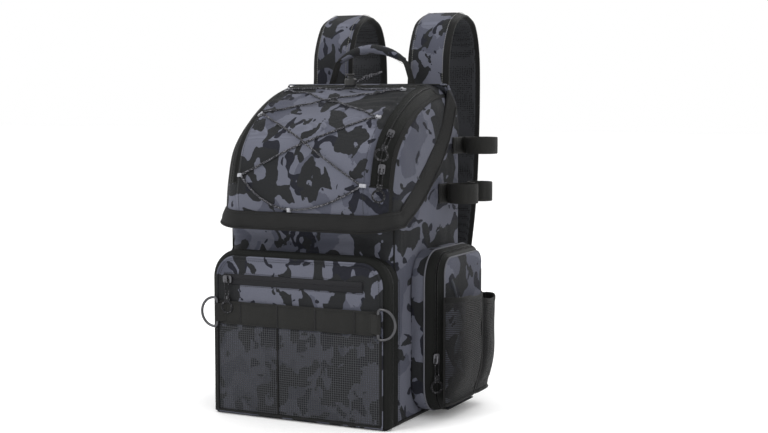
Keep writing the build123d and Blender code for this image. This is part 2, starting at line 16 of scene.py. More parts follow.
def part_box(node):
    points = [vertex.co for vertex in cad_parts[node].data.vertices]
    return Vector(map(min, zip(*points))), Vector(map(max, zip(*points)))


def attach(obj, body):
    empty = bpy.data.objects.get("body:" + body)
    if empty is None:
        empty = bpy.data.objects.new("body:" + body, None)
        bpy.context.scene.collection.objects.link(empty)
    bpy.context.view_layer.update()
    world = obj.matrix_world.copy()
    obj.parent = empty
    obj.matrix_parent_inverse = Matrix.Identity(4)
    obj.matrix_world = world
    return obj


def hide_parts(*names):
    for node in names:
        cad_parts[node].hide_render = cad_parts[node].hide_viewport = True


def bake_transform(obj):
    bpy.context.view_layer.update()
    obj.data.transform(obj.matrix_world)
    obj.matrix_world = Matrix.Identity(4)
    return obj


MM = 0.001
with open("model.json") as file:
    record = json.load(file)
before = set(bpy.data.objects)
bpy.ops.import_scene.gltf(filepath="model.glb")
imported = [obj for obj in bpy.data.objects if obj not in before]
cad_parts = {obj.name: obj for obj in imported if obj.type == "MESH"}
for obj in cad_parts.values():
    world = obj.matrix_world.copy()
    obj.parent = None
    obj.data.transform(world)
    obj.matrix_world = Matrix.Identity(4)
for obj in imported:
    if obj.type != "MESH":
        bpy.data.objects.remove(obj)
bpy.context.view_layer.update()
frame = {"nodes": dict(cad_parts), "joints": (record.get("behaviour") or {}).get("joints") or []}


# ---- measures taken from the frame ----
def box(node):
    """Lowest and highest corner of a CAD node, in millimetres."""
    low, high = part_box(node)
    return low / MM, high / MM


def joint_spot(name):
    """Where a hinge sits, in millimetres."""
    joint = next(j for j in frame["joints"] if j["name"] == name)
    return Vector(joint["pos_m"]) / MM


def islands(node):
    """Centre of each separate solid in a CAD node, in millimetres."""
    mesh = bmesh.new()
    mesh.from_mesh(frame["nodes"][node].data)
    bmesh.ops.remove_doubles(mesh, verts=mesh.verts, dist=1e-6)
    left = set(mesh.verts)
    centres = []
    while left:
        queue = [left.pop()]
        group = list(queue)
        while queue:
            for edge in queue.pop().link_edges:
                for vert in edge.verts:
                    if vert in left:
                        left.remove(vert)
                        queue.append(vert)
                        group.append(vert)
        low = [min(v.co[i] for v in group) for i in range(3)]
        high = [max(v.co[i] for v in group) for i in range(3)]
        centres.append(tuple((low[i] + high[i]) / 2 / MM for i in range(3)))
    mesh.free()
    return centres


HALF = box("side_panel_right")[1].x
FRONT = box("door_panel")[0].y
BACK = -FRONT
BULGE = box("back_panel")[1].y
BEND_Z = box("back_panel")[1].z
DOOR_TOP = box("door_panel")[1].z
DOOR_CORNER = 38.0
DOOR_ROUND = 5.0          # rounding from the door's face into its rim
RIM_BACK = box("door_rim")[1].y
TRACK_BACK = box("door_zip_track")[1].y
STRIP_Y = box("front_strip_panel")[0].y
HINGE = joint_spot("lid_hinge")
LID_RADIUS = 40.0
PANEL_HALF = box("lid_pocket_panel")[1].x
PANEL_LOW = box("lid_pocket_panel")[0].z
PANEL_REAR = box("lid_pocket_panel")[1].y
BAND_HALF = box("lid_pocket_zip")[1].x
BAND_REAR = box("lid_pocket_zip")[1].y
LID_SPOTS = [(-127, 300), (-120, 353), (-103, 404), (-66, 443), (-14, 474), (38, 492), (87, 498)]
ZIP_SPOTS = [(-101, 296), (-12, 356), (55, 419), (87, 478)]
CENTRE = np.array((0.0, 0.0, 250.0))
SIDES = (("left", -1), ("right", 1))


# ---- numbers and curves ----
def unit(v):
    v = np.asarray(v, float)
    return v / np.maximum(np.linalg.norm(v, axis=-1, keepdims=True), 1e-9)


def ease(t):
    """Smooth step from 0 to 1."""
    t = min(1.0, max(0.0, t))
    return t * t * (3 - 2 * t)


def rumple(point, size, seed, stretch=(1, 1, 1)):
    """Seeded smooth noise, about -1 to 1, with bumps of the given size."""
    spot = [point[i] / (size * stretch[i]) + seed * (7.31, 3.17, 5.73)[i] for i in range(3)]
    return noise.noise(Vector(spot)) * 1.6


def curve(spots, count=40):
    """Smooth row of points through the spots (Catmull-Rom)."""
    spots = np.array(spots, float)
    padded = np.vstack([2 * spots[0] - spots[1], spots, 2 * spots[-1] - spots[-2]])
    row = []
    for i in range(len(spots) - 1):
        a, b, c, d = padded[i:i + 4]
        for t in np.linspace(0, 1, count, endpoint=False):
            row.append(0.5 * (2 * b + (c - a) * t + (2 * a - 5 * b + 4 * c - d) * t * t
                              + (3 * b - a - 3 * c + d) * t ** 3))
    return np.array(row + [spots[-1]])


def spaced(path, step=None, count=None):
    """The same path with evenly spaced points."""
    path = np.asarray(path, float)
    run = np.concatenate([[0], np.cumsum(np.linalg.norm(np.diff(path, axis=0), axis=1))])
    if count is None:
        count = max(2, int(round(run[-1] / step)) + 1)
    at = np.linspace(0, run[-1], count)
    return np.stack([np.interp(at, run, path[:, i]) for i in range(path.shape[1])], 1)


def mirror_x(path):
    return np.asarray(path, float) * (-1, 1, 1)


LID_LINE = spaced(curve(LID_SPOTS), count=400)
LID_OUT = unit(np.gradient(LID_LINE, axis=0)) @ np.array([[0, 1], [-1, 0]])
ZIP_LINE = spaced(curve(ZIP_SPOTS), count=200)


def lid_share_z(z):
    """Share of the way up the lid's front curve at height z."""
    return float(np.interp(z, LID_LINE[:, 1], np.linspace(0, 1, len(LID_LINE))))


def lid_share_y(y):
    """Share of the way along the lid's front curve at depth y."""
    return float(np.interp(y, LID_LINE[:, 0], np.linspace(0, 1, len(LID_LINE))))


def lid_frame(share):
    """Point and outward direction on the lid's curve, as (y, z) pairs."""
    at = share * (len(LID_LINE) - 1)
    steps = np.arange(len(LID_LINE))
    spot = [np.interp(at, steps, LID_LINE[:, i]) for i in range(2)]
    out = [np.interp(at, steps, LID_OUT[:, i]) for i in range(2)]
    if out[0] * 1.0 > 0.9:
        out = [-out[0], -out[1]]
    return np.array(spot), np.array(out)


def on_lid(x, share, lift=0.0):
    """Point on the lid, whose long edges are rounded towards the sides."""
    spot, out = lid_frame(share)
    over = min(LID_RADIUS, max(0.0, abs(x) - (HALF - LID_RADIUS)))
    drop = LID_RADIUS - math.sqrt(LID_RADIUS ** 2 - over ** 2)
    turn = math.asin(over / LID_RADIUS)
    spot = spot + out * (lift * math.cos(turn) - drop)
    return (x + math.copysign(lift * math.sin(turn), x), spot[0], spot[1])


# ---- mesh makers ----
def dress(obj, body, stands_for=()):
    """Put a piece on its body and hide the nodes that it stands for."""
    if body:
        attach(obj, body)
    if stands_for:
        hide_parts(*stands_for)
    return obj


def make_object(name, points, faces, finishes, indices=None):
    mesh = bpy.data.meshes.new(name)
    mesh.from_pydata((np.asarray(points, float) * MM).tolist(), [], faces)
    for finish in finishes:
        mesh.materials.append(finish)
    mesh.polygons.foreach_set("use_smooth", [True] * len(mesh.polygons))
    if indices is not None:
        mesh.polygons.foreach_set("material_index", indices)
    mesh.update()
    obj = bpy.data.objects.new(name, mesh)
    bpy.context.scene.collection.objects.link(obj)
    return obj


def face_outwards(obj):
    work = bmesh.new()
    work.from_mesh(obj.data)
    bmesh.ops.recalc_face_normals(work, faces=work.faces)
    work.to_mesh(obj.data)
    work.free()


def quads(rows, columns, closed=False):
    """Faces of a grid stored row by row; closed joins the last row to the first."""
    faces = []
    for i in range(rows if closed else rows - 1):
        for j in range(columns - 1):
            a = i * columns + j
            b = ((i + 1) % rows) * columns + j
            faces.append((a, b, b + 1, a + 1))
    return faces


def grid_of(surface, counts, relief=None, closed=False):
    """Sampled surface with outward normals: points, normals, True if the faces need reversing."""
    nu, nv = counts
    last = nu if closed else nu - 1
    shares = [(i / last, j / (nv - 1)) for i in range(nu) for j in range(nv)]
    points = np.array([surface(u, v) for u, v in shares], float).reshape(nu, nv, 3)
    if closed:
        along = np.roll(points, -1, 0) - np.roll(points, 1, 0)
    else:
        along = np.gradient(points, axis=0)
    out = unit(np.cross(along, np.gradient(points, axis=1)))
    reverse = float(np.sum(out * (points - CENTRE))) < 0
    if reverse:
        out = -out
    if relief:
        lift = np.array([relief(u, v, points[k // nv, k % nv]) for k, (u, v) in enumerate(shares)])
        points = points + out * lift.reshape(nu, nv, 1)
    return points, out, reverse


def sheet(name, surface, counts, thick, finishes, body, stands_for=(), relief=None, closed=False):
    """Fabric panel; finishes are its outside and, if given, its lining."""
    points, _, reverse = grid_of(surface, counts, relief, closed)
    faces = quads(counts[0], counts[1], closed)
    if reverse:
        faces = [face[::-1] for face in faces]
    obj = make_object(name, points.reshape(-1, 3), faces, finishes)
    solid = obj.modifiers.new("cloth_thickness", "SOLIDIFY")
    solid.thickness = thick * MM
    solid.offset = -1
    solid.material_offset = len(finishes) - 1
    return dress(obj, body, stands_for)


def loft(name, rings, finishes, body, stands_for=(), closed=False, indices=None):
    """Closed form through rings of points; indices gives a finish for each place round the ring."""
    rings = np.asarray(rings, float)
    count, size = rings.shape[:2]
    faces = []
    marks = []
    for i in range(count if closed else count - 1):
        for j in range(size):
            a = i * size
            b = ((i + 1) % count) * size
            k = (j + 1) % size
            faces.append((a + j, b + j, b + k, a + k))
            marks.append(indices[j] if indices is not None else 0)
    if not closed:
        faces += [tuple(range(size)), tuple(range((count - 1) * size, count * size))[::-1]]
        marks += [0, 0]
    obj = make_object(name, rings.reshape(-1, 3), faces, finishes, marks)
    face_outwards(obj)
    return dress(obj, body, stands_for)


def tube_rings(path, radius, sides=10):
    """Round section carried along a path, with rounded ends."""
    path = np.asarray(path, float)
    along = unit(np.gradient(path, axis=0))
    side = np.cross(along[0], (0.31, 0.52, 0.79))
    rings = []
    for i, centre in enumerate(path):
        side = unit(side - along[i] * np.dot(side, along[i]))
        lift = np.cross(along[i], side)
        size = radius * (0.55 if i in (0, len(path) - 1) else 1.0)
        turns = np.arange(sides) / sides * 2 * math.pi
        rings.append(centre + size * (np.outer(np.cos(turns), side) + np.outer(np.sin(turns), lift)))
    return rings


def tube(name, path, radius, finish, body, stands_for=(), closed=False, sides=10):
    return loft(name, tube_rings(path, radius, sides), [finish], body, stands_for, closed)


def ribbon_rings(path, across, width, thick):
    """Webbing section carried along a path; across is the direction of its width."""
    path = np.asarray(path, float)
    along = unit(np.gradient(path, axis=0))
    across = unit(np.broadcast_to(across, path.shape))
    lift = unit(np.cross(along, across))
    w, t = width / 2, thick / 2
    section = [(-w, -t * 0.4), (-w, t * 0.4), (-w + t, t), (-w / 2, t * 1.1), (0, t * 1.15), (w / 2, t * 1.1),
               (w - t, t), (w, t * 0.4), (w, -t * 0.4), (w - t, -t), (0, -t), (-w + t, -t)]
    return [[path[i] + across[i] * a + lift[i] * b for a, b in section] for i in range(len(path))]


def ribbon(name, path, across, width, thick, finish, body, stands_for=(), closed=False):
    return loft(name, ribbon_rings(path, across, width, thick), [finish], body, stands_for, closed)


class Heap:
    """Many small solids gathered into one piece."""

    def __init__(self):
        self.points = []
        self.faces = []

    def rings(self, rings):
        rings = np.asarray(rings, float)
        count, size = rings.shape[:2]
        base = len(self.points)
        self.points += rings.reshape(-1, 3).tolist()
        for i in range(count - 1):
            for j in range(size):
                k = (j + 1) % size
                a = base + i * size
                self.faces.append((a + j, a + size + j, a + size + k, a + k))
        self.faces.append(tuple(range(base, base + size)))
        self.faces.append(tuple(range(base + (count - 1) * size, base + count * size))[::-1])

    def bead(self, start, end, radius, sides=5):
        start, end = np.asarray(start, float), np.asarray(end, float)
        self.rings(tube_rings([start + (end - start) * t for t in (0, 0.2, 0.8, 1)], radius, sides))

    def ribbon(self, path, across, width, thick):
        self.rings(ribbon_rings(path, across, width, thick))

    def piece(self, name, finish, body, slot, stands_for=()):
        obj = make_object(name, self.points, self.faces, [finish])
        face_outwards(obj)
        return dress(obj, body, stands_for)


THREADS = {}
TEETH = {}


def stitch(body, path, pitch=3.4, length=2.3, radius=0.38, heap=THREADS):
    """Row of thread stitches along a path."""
    path = spaced(path, step=pitch)
    store = heap.setdefault(body, Heap())
    for a, b in zip(path[:-1], path[1:]):
        way = unit(b - a)
        middle = (a + b) / 2
        store.bead(middle - way * length / 2, middle + way * length / 2, radius)


def rungs(body, path, across, pitch, length, radius, heap=TEETH):
    """Short bars laid across a path: zip teeth or the threads of a bar tack."""
    path = spaced(path, step=pitch)
    across = unit(np.asarray(across, float))
    store = heap.setdefault(body, Heap())
    for i, spot in enumerate(path):
        way = across if across.ndim == 1 else across[int(i / len(path) * len(across))]
        store.bead(spot - way * length / 2, spot + way * length / 2, radius)


def net(name, surface, lengths, pitch, strand, thick, finish, body, stands_for=()):
    """Open mesh fabric: a grid of cells, each with its hole cut out."""
    nu = int(round(lengths[0] / pitch[0]))
    nv = int(round(lengths[1] / pitch[1]))
    points = []
    faces = []
    index = {}
    for i in range(nu + 1):
        for j in range(nv + 1):
            index[i, j] = len(points)
            points.append(surface(i / nu, j / nv))
    for i in range(nu):
        for j in range(nv):
            corners = [index[i, j], index[i + 1, j], index[i + 1, j + 1], index[i, j + 1]]
            inner = []
            hole = [(strand, strand * 1.3), (0.5, strand * 0.8), (1 - strand, strand * 1.3),
                    (1 - strand, 1 - strand * 1.3),
                    (0.5, 1 - strand * 0.8), (strand, 1 - strand * 1.3)]
            p = [np.array(points[c]) for c in corners]
            for a, b in hole:
                spot = p[0] * (1 - a) * (1 - b) + p[1] * a * (1 - b) + p[2] * a * b + p[3] * (1 - a) * b
                inner.append(len(points))
                points.append(tuple(spot))
            low0, lowm, low1, high1, highm, high0 = inner
            c0, c1, c2, c3 = corners
            faces += [(c0, c1, low1, lowm, low0), (c1, c2, high1, low1), (c2, c3, high0, highm, high1),
                      (c3, c0, low0, high0)]
    obj = make_object(name, points, faces, [finish])
    solid = obj.modifiers.new("strand_thickness", "SOLIDIFY")
    solid.thickness = thick * MM
    solid.offset = 0
    return dress(obj, body, stands_for)


# ---- materials ----
def tint(r, g, b):
    """Linear colour from 0-255 screen values."""
    return tuple(((c / 255 + 0.055) / 1.055) ** 2.4 for c in (r, g, b)) + (1.0,)


def node(tree, kind, inputs=None, **settings):
    """Add a shader node; an input given as a socket is linked, anything else is its value."""
    made = tree.nodes.new("ShaderNode" + kind)
    for key, value in settings.items():
        setattr(made, key, value)
    for key, value in (inputs or {}).items():
        if isinstance(value, bpy.types.NodeSocket):
            tree.links.new(value, made.inputs[key])
        else:
            made.inputs[key].default_value = value
    return made


def calc(tree, operation, first, second=0.0):
    return node(tree, "Math", {0: first, 1: second}, operation=operation).outputs[0]


def blend_colour(tree, share, first, second):
    mixer = node(tree, "Mix", {"Factor": share}, data_type="RGBA")
    for socket, value in ((mixer.inputs[6], first), (mixer.inputs[7], second)):
        if isinstance(value, bpy.types.NodeSocket):
            tree.links.new(value, socket)
        else:
            socket.default_value = value
    return mixer.outputs[2]


def noise_at(tree, place, scale, detail=2.0, distortion=0.0, roughness=0.5):
    return node(tree, "TexNoise", {"Vector": place, "Scale": scale, "Detail": detail,
                                   "Distortion": distortion,
                                   "Roughness": roughness}).outputs["Fac"]


def weave_height(tree, pitch):
    """Height of a plain weave from the object's own coordinates, turned to suit each face."""
    source = node(tree, "TexCoord")
    place = node(tree, "SeparateXYZ", {0: source.outputs["Object"]})
    facing = node(tree, "SeparateXYZ", {0: source.outputs["Normal"]})
    waves = [calc(tree, "SINE", calc(tree, "MULTIPLY", place.outputs[i], 2 * math.pi / (pitch * MM)))
             for i in range(3)]
    height = None
    for i in range(3):
        pair = calc(tree, "MULTIPLY", waves[(i + 1) % 3], waves[(i + 2) % 3])
        share = calc(tree, "POWER", calc(tree, "ABSOLUTE", facing.outputs[i]), 2.0)
        part = calc(tree, "MULTIPLY", pair, share)
        height = part if height is None else calc(tree, "ADD", height, part)
    return height


def start_material(name, roughness, sheen=0.0, metallic=0.0, gloss=0.12):
    material = bpy.data.materials.new(name)
    material.use_nodes = True
    surface = material.node_tree.nodes["Principled BSDF"]
    surface.inputs["Roughness"].default_value = roughness
    surface.inputs["Metallic"].default_value = metallic
    surface.inputs["Sheen Weight"].default_value = sheen
    surface.inputs["Specular IOR Level"].default_value = gloss
    surface.inputs["Sheen Roughness"].default_value = 0.5
    return material, material.node_tree, surface


def set_bump(tree, surface, height, distance, strength=1.0):
    bump = node(tree, "Bump", {"Height": height, "Distance": distance * MM, "Strength": strength})
    tree.links.new(bump.outputs[0], surface.inputs["Normal"])


def fabric(name, colour, pitch=1.0, depth=0.25, roughness=0.75, sheen=0.02, spread=0.14):
    """Plain woven cloth with uneven dye, a soft sheen and painted shade in the weave's hollows."""
    material, tree, surface = start_material(name, roughness, sheen)
    place = node(tree, "TexCoord").outputs["Object"]
    weave = weave_height(tree, pitch)
    patches = noise_at(tree, place, 28.0, 3.0)
    fine = noise_at(tree, place, 900.0, 2.0)
    shade = calc(tree, "ADD", calc(tree, "MULTIPLY", patches, spread * 2), 1 - spread)
    # painted shade: the weave's hollows are darker and its raised threads lighter
    shade = calc(tree, "ADD", shade, calc(tree, "MULTIPLY", weave, 0.10))
    shade = calc(tree, "ADD", shade, calc(tree, "MULTIPLY", calc(tree, "SUBTRACT", fine, 0.5), 0.5))
    dyed = node(tree, "VectorMath", {0: colour[:3]}, operation="SCALE")
    tree.links.new(shade, dyed.inputs["Scale"])
    tree.links.new(dyed.outputs[0], surface.inputs["Base Color"])
    height = calc(tree, "ADD", weave, calc(tree, "MULTIPLY", patches, 1.5))
    set_bump(tree, surface, height, depth)
    return material


LIGHT = tint(97, 99, 111)
MIDDLE = tint(79, 81, 93)
DARK = tint(36, 37, 39)
NAVY = tint(31, 32, 40)


def camo(name, shift=(0, 0, 0), size=1.0):
    """Printed canvas: slate ground, charcoal blots with ragged edges, fewer blue-black ones."""
    material, tree, surface = start_material(name, 0.75, 0.02)
    source = node(tree, "TexCoord").outputs["Object"]
    place = node(tree, "Mapping", {"Vector": source, "Location": shift,
                                   "Scale": (1.0 / size, 0.62 / size, 0.85 / size)}).outputs[0]
    ragged = calc(tree, "MULTIPLY", calc(tree, "SUBTRACT", noise_at(tree, place, 170.0, 2.0), 0.5), 0.085)
    broad = calc(tree, "ADD", noise_at(tree, place, 25.0, 1.4, 0.9, 0.45), ragged)
    dark = calc(tree, "GREATER_THAN", broad, 0.545)
    other = node(tree, "Mapping", {"Vector": place, "Location": (0.7, 0.3, 0.9)}).outputs[0]
    second = calc(tree, "ADD", noise_at(tree, other, 36.0, 1.2, 0.8, 0.4), ragged)
    navy = calc(tree, "GREATER_THAN", second, 0.60)
    third = node(tree, "Mapping", {"Vector": place, "Location": (0.2, 0.8, 0.4)}).outputs[0]
    middle = calc(tree, "GREATER_THAN", calc(tree, "ADD", noise_at(tree, third, 17.0, 1.0, 0.5), ragged),
                  0.56)
    colour = blend_colour(tree, middle, LIGHT, MIDDLE)
    colour = blend_colour(tree, navy, colour, NAVY)
    colour = blend_colour(tree, dark, colour, DARK)
    weave = weave_height(tree, 1.05)
    fine = noise_at(tree, source, 850.0, 2.0)
    wear = noise_at(tree, source, 9.0, 3.0)
    # painted shade: the weave's hollows are darker and its raised threads lighter
    shade = calc(tree, "ADD", 0.90, calc(tree, "MULTIPLY", weave, 0.07))
    shade = calc(tree, "ADD", shade, calc(tree, "MULTIPLY", calc(tree, "SUBTRACT", fine, 0.5), 0.35))
    shade = calc(tree, "ADD", shade, calc(tree, "MULTIPLY", wear, 0.20))
    dyed = node(tree, "VectorMath", {0: colour}, operation="SCALE")
    tree.links.new(shade, dyed.inputs["Scale"])
    tree.links.new(dyed.outputs[0], surface.inputs["Base Color"])
    creases = noise_at(tree, source, 55.0, 3.0, 0.4)
    set_bump(tree, surface, calc(tree, "ADD", weave, calc(tree, "MULTIPLY", creases, 3.5)), 0.28)
    return material


def metal(name, colour, roughness):
    """Plated metal with fine scratches and rubbed patches."""
    material, tree, surface = start_material(name, roughness, 0.0, 1.0, 0.5)
    place = node(tree, "TexCoord").outputs["Object"]
    rubbed = noise_at(tree, place, 160.0, 4.0)
    colour_out = blend_colour(tree, rubbed, colour, tuple(min(1.0, c * 2.2) for c in colour[:3]) + (1,))
    tree.links.new(colour_out, surface.inputs["Base Color"])
    tree.links.new(calc(tree, "ADD", roughness - 0.12, calc(tree, "MULTIPLY", rubbed, 0.25)),
                   surface.inputs["Roughness"])
    set_bump(tree, surface, noise_at(tree, place, 1400.0, 2.0), 0.04)
    return material


def plastic(name, colour, roughness=0.42):
    """Moulded plastic with a fine spark-eroded grain."""
    material, tree, surface = start_material(name, roughness, 0.0, 0.0, 0.4)
    place = node(tree, "TexCoord").outputs["Object"]
    cloudy = noise_at(tree, place, 90.0, 3.0)
    tree.links.new(blend_colour(tree, cloudy, colour, tuple(min(1.0, c * 1.6) for c in colour[:3]) + (1,)),
                   surface.inputs["Base Color"])
    set_bump(tree, surface, noise_at(tree, place, 1900.0, 2.0), 0.06)
    return material


def cord_finish(name, base, fleck, amount):
    """Braided cord: fine diamonds with lighter flecks."""
    material, tree, surface = start_material(name, 0.6, 0.03)
    place = node(tree, "TexCoord").outputs["Object"]
    weave = weave_height(tree, 1.3)
    flecks = calc(tree, "GREATER_THAN", noise_at(tree, place, 620.0, 1.0), 1 - amount)
    tree.links.new(blend_colour(tree, flecks, base, fleck), surface.inputs["Base Color"])
    set_bump(tree, surface, weave, 0.3)
    return material


def air_mesh(name, colour, pitch=3.2):
    """Spacer mesh: a field of small round holes, coloured near black as painted shade inside them."""
    material, tree, surface = start_material(name, 0.8, 0.03)
    place = node(tree, "TexCoord").outputs["Object"]
    cells = node(tree, "TexVoronoi",
                 {"Vector": place, "Scale": 1000.0 / pitch, "Randomness": 0.25}).outputs["Distance"]
    strand = calc(tree, "GREATER_THAN", cells, 0.33)
    # painted shade: the holes are coloured near black for the shade inside them
    tree.links.new(blend_colour(tree, strand, tint(9, 9, 10), colour), surface.inputs["Base Color"])
    set_bump(tree, surface, strand, 0.5)
    return material


BLACK = fabric("black_canvas", tint(32, 32, 32), 0.9, 0.2)
TAPE = fabric("zip_tape", tint(19, 20, 19), 0.7, 0.15, 0.62, 0.0)
WEBBING = fabric("black_webbing", tint(38, 38, 37), 1.7, 0.45, 0.66)
BINDING = fabric("edge_binding", tint(26, 26, 26), 1.2, 0.3, 0.6)
PIPING = fabric("light_piping", tint(96, 97, 104), 0.9, 0.2, 0.5)
LINING = fabric("grey_lining", tint(66, 68, 74), 0.6, 0.08, 0.6)
COATED = fabric("coated_zip_tape", tint(24, 24, 27), 0.5, 0.04, 0.36, 0.0, 0.08)
TAB = fabric("light_tab", tint(165, 166, 172), 1.1, 0.3, 0.55)
MESH = fabric("pocket_mesh", tint(34, 34, 35), 1.1, 0.25, 0.45)
# door net: its black mesh strands are coloured light grey as a painted sheen
NET_PAINTED_SHEEN = fabric("door_mesh", tint(66, 67, 70), 1.1, 0.25, 0.45)
THREAD = fabric("sewing_thread", tint(40, 40, 41), 0.6, 0.1, 0.5)
COIL = plastic("zip_coil", tint(20, 20, 21), 0.35)
MOULDED = plastic("moulded_plastic", tint(22, 22, 23))
STIFF = plastic("stiffener_sheet", tint(48, 49, 52), 0.55)
GUNMETAL = metal("gunmetal", tint(62, 62, 64), 0.32)
STEEL = metal("spring_steel", tint(150, 150, 152), 0.25)
ZIP_METAL = metal("zip_metal", tint(70, 70, 73), 0.3)
CORD = cord_finish("elastic_cord", tint(44, 44, 48), tint(118, 118, 124), 0.42)
PULL_CORD = cord_finish("pull_cord", tint(30, 30, 32), tint(108, 108, 112), 0.36)
PAD_MESH = air_mesh("spacer_mesh", tint(48, 49, 52))
CAMO_LID = camo("camo_lid", (0.31, 0.12, 0.40))
CAMO_GUSSET = camo("camo_gusset", (0.83, 0.55, 0.17), 1.3)
CAMO_BODY = camo("camo_body", (0.12, 0.94, 0.63))
CAMO_DOOR = camo("camo_door", (0.55, 0.28, 0.07), 0.85)
CAMO_POCKET = camo("camo_pocket", (0.64, 0.71, 0.36))
CAMO_STRAP = camo("camo_strap", (0.27, 0.43, 0.88), 0.9)


# ---- body ----
def zip_height(y):
    """Height of the main zip's curve at depth y."""
    return float(np.interp(y, ZIP_LINE[:, 0], ZIP_LINE[:, 1]))


def back_line():
    """Upper back from its bend to the hinge line, as (y, z) points."""
    low = np.array((BULGE, BEND_Z))
    high = np.array((HINGE.y + 3, HINGE.z - 2))
    middle = np.array((BULGE - 18, BEND_Z + 68))
    return spaced(curve([low, middle, high]), count=60)


BACK_LINE = back_line()
CORNER_RADIUS = 30.0
SEAM_Y = STRIP_Y + 11


def side_top(y):
    if y < HINGE.y - 1:
        return zip_height(y) - 3
    return float(np.interp(-y, -BACK_LINE[:, 0], BACK_LINE[:, 1]))


def side_x(y, z):
    """Width of the body at a place on its side, its front corner rounded above the door."""
    x = HALF
    turn = STRIP_Y + CORNER_RADIUS
    if y < turn:
        recess = CORNER_RADIUS - math.sqrt(max(0.0, CORNER_RADIUS ** 2 - (turn - y) ** 2))
        x -= recess * ease((z - DOOR_TOP + 40) / 34)
    if y > BACK - 9:
        x -= 9 - math.sqrt(max(0.0, 81 - (y - BACK + 9) ** 2))
    return x


def body_relief(u, v, p):
    """Loose cloth: upright folds on the sides, fading at the seams."""
    edge = ease(min(u, 1 - u) / 0.08) * ease(min(v, 1 - v) / 0.05)
    folds = rumple(p, 34, 3, (1, 1, 2.6)) * 1.7 + rumple(p, 15, 4, (1, 1, 2.2)) * 0.6
    pull = math.exp(-((p[1] - SEAM_Y) / 26) ** 2) * abs(rumple(p, 13, 8, (1, 0.8, 2.4))) * 1.6
    return edge * (folds - pull - 0.8)


def body_sides():
    rear = BACK + 0.4
    for side, sign in SIDES:
        def surface(u, v):
            y = SEAM_Y + (rear - SEAM_Y) * u
            top = side_top(min(y, BULGE - 0.5))
            z = 1.5 + (top - 1.5) * v
            return sign * side_x(y, z), y, z
        sheet("body_side_" + side, surface, (90, 120), 2.4, [CAMO_BODY, LINING], "bag",
              ("side_panel_" + side,), body_relief)
        seam = [(sign * (side_x(SEAM_Y, z) + 0.5), SEAM_Y - 0.4, z)
                for z in np.linspace(DOOR_TOP - 34, 288, 40)]
        tube("front_seam_" + side, seam, 1.1, BINDING, "bag")
        low = [(sign * (HALF + 0.3), TRACK_BACK + 0.5, z) for z in np.linspace(4, DOOR_TOP - 30, 40)]
        stitch("bag", [(x, y + 4, z) for x, y, z in low])
        rear_seam = [(sign * (HALF - 5.5), BACK - 1.5, z) for z in np.linspace(2, BEND_Z, 60)]
        tube("rear_seam_" + side, rear_seam, 1.8, BINDING, "bag")


def body_front():
    """Upper front wall, wrapping both rounded corners and leaning out to the main zip."""
    turn = math.acos((CORNER_RADIUS - (SEAM_Y - STRIP_Y)) / CORNER_RADIUS)
    corner = [(HALF - CORNER_RADIUS + CORNER_RADIUS * math.sin(a),
               STRIP_Y + CORNER_RADIUS * (1 - math.cos(a)))
              for a in np.linspace(0, turn, 12)]
    plan = np.array([(-x, y) for x, y in corner[::-1]] + corner)
    plan = spaced(plan, count=121)
    high = 297.0
    flat = HALF - CORNER_RADIUS

    def surface(u, v):
        x, y = plan[int(round(u * 120))]
        reach = abs(x)
        if reach > flat:
            reach = flat + CORNER_RADIUS * math.sqrt(max(0.0, (y - STRIP_Y) / (SEAM_Y - STRIP_Y)))
        over = max(0.0, min(DOOR_CORNER, reach - (HALF - DOOR_CORNER)))
        low = DOOR_TOP - DOOR_CORNER - 1.5 + math.sqrt(DOOR_CORNER ** 2 - over ** 2)
        z = low + (high - low) * v
        if abs(x) > flat + 0.01:
            x = math.copysign(side_x(y, z), x)
        lean = 17 * ease((z - DOOR_TOP - 15) / 34) * ease((HALF - abs(x)) / 24)
        return x, y - lean, z

    def relief(u, v, p):
        edge = ease(min(u, 1 - u) / 0.05) * ease(min(v, 1 - v) / 0.15)
        return edge * (rumple(p, 26, 5, (1.8, 1, 0.8)) * 2.0 + rumple(p, 11, 6, (1.6, 1, 0.9)) * 0.7)
    sheet("body_front", surface, (121, 30), 2.4, [CAMO_BODY, LINING], "bag",
          ("front_strip_panel",), relief)


def body_back():
    def surface(u, v):
        x = (2 * u - 1) * (HALF - 2)
        spot = np.array((BACK + (BULGE - BACK) * v, 1.5 + (BEND_Z - 1.5) * v))
        over = max(0.0, abs(x) - (HALF - 11))
        return x, spot[0] - (9 - math.sqrt(max(0.0, 81 - over ** 2))), spot[1]

    def relief(u, v, p):
        return rumple(p, 40, 9) * 1.0 * ease(min(u, 1 - u, v, 1 - v) / 0.06)
    sheet("body_back", surface, (70, 70), 2.4, [BLACK, LINING], "bag", ("back_panel",),
          relief)

    def yoke(u, v):
        x = (2 * u - 1) * (HALF - 2)
        y, z = BACK_LINE[int(round(v * (len(BACK_LINE) - 1)))]
        over = max(0.0, abs(x) - (HALF - 11))
        return x, y - (9 - math.sqrt(max(0.0, 81 - over ** 2))) * 0.7, z - over * 0.35
    sheet("body_yoke", yoke, (70, 60), 2.4, [CAMO_BODY, LINING], "bag", ("top_yoke_panel",),
          relief)
    row = [(x, BULGE + 0.4, BEND_Z - 5) for x in np.linspace(-HALF + 12, HALF - 12, 60)]
    stitch("bag", row)
    stitch("bag", [(x, y, z - 5) for x, y, z in row])


def body_base():
    low, high = box("base_panel")

    def surface(u, v):
        return low.x + (high.x - low.x) * u, low.y + (high.y - low.y) * v, 0.2

    def relief(u, v, p):
        return -(0.9 + rumple(p, 30, 2)) * 0.5 * ease(min(u, 1 - u, v, 1 - v) / 0.05)
    sheet("base_sheet", surface, (50, 50), 2.2, [COATED, LINING], "bag", ("base_panel",),
          relief)
    edge = 3.5
    loop = [(low.x, low.y + edge, edge), (low.x, high.y, edge), (high.x, high.y, edge),
            (high.x, low.y + edge, edge)]
    tube("base_binding", spaced(loop, step=8), 2.0, BINDING, "bag")


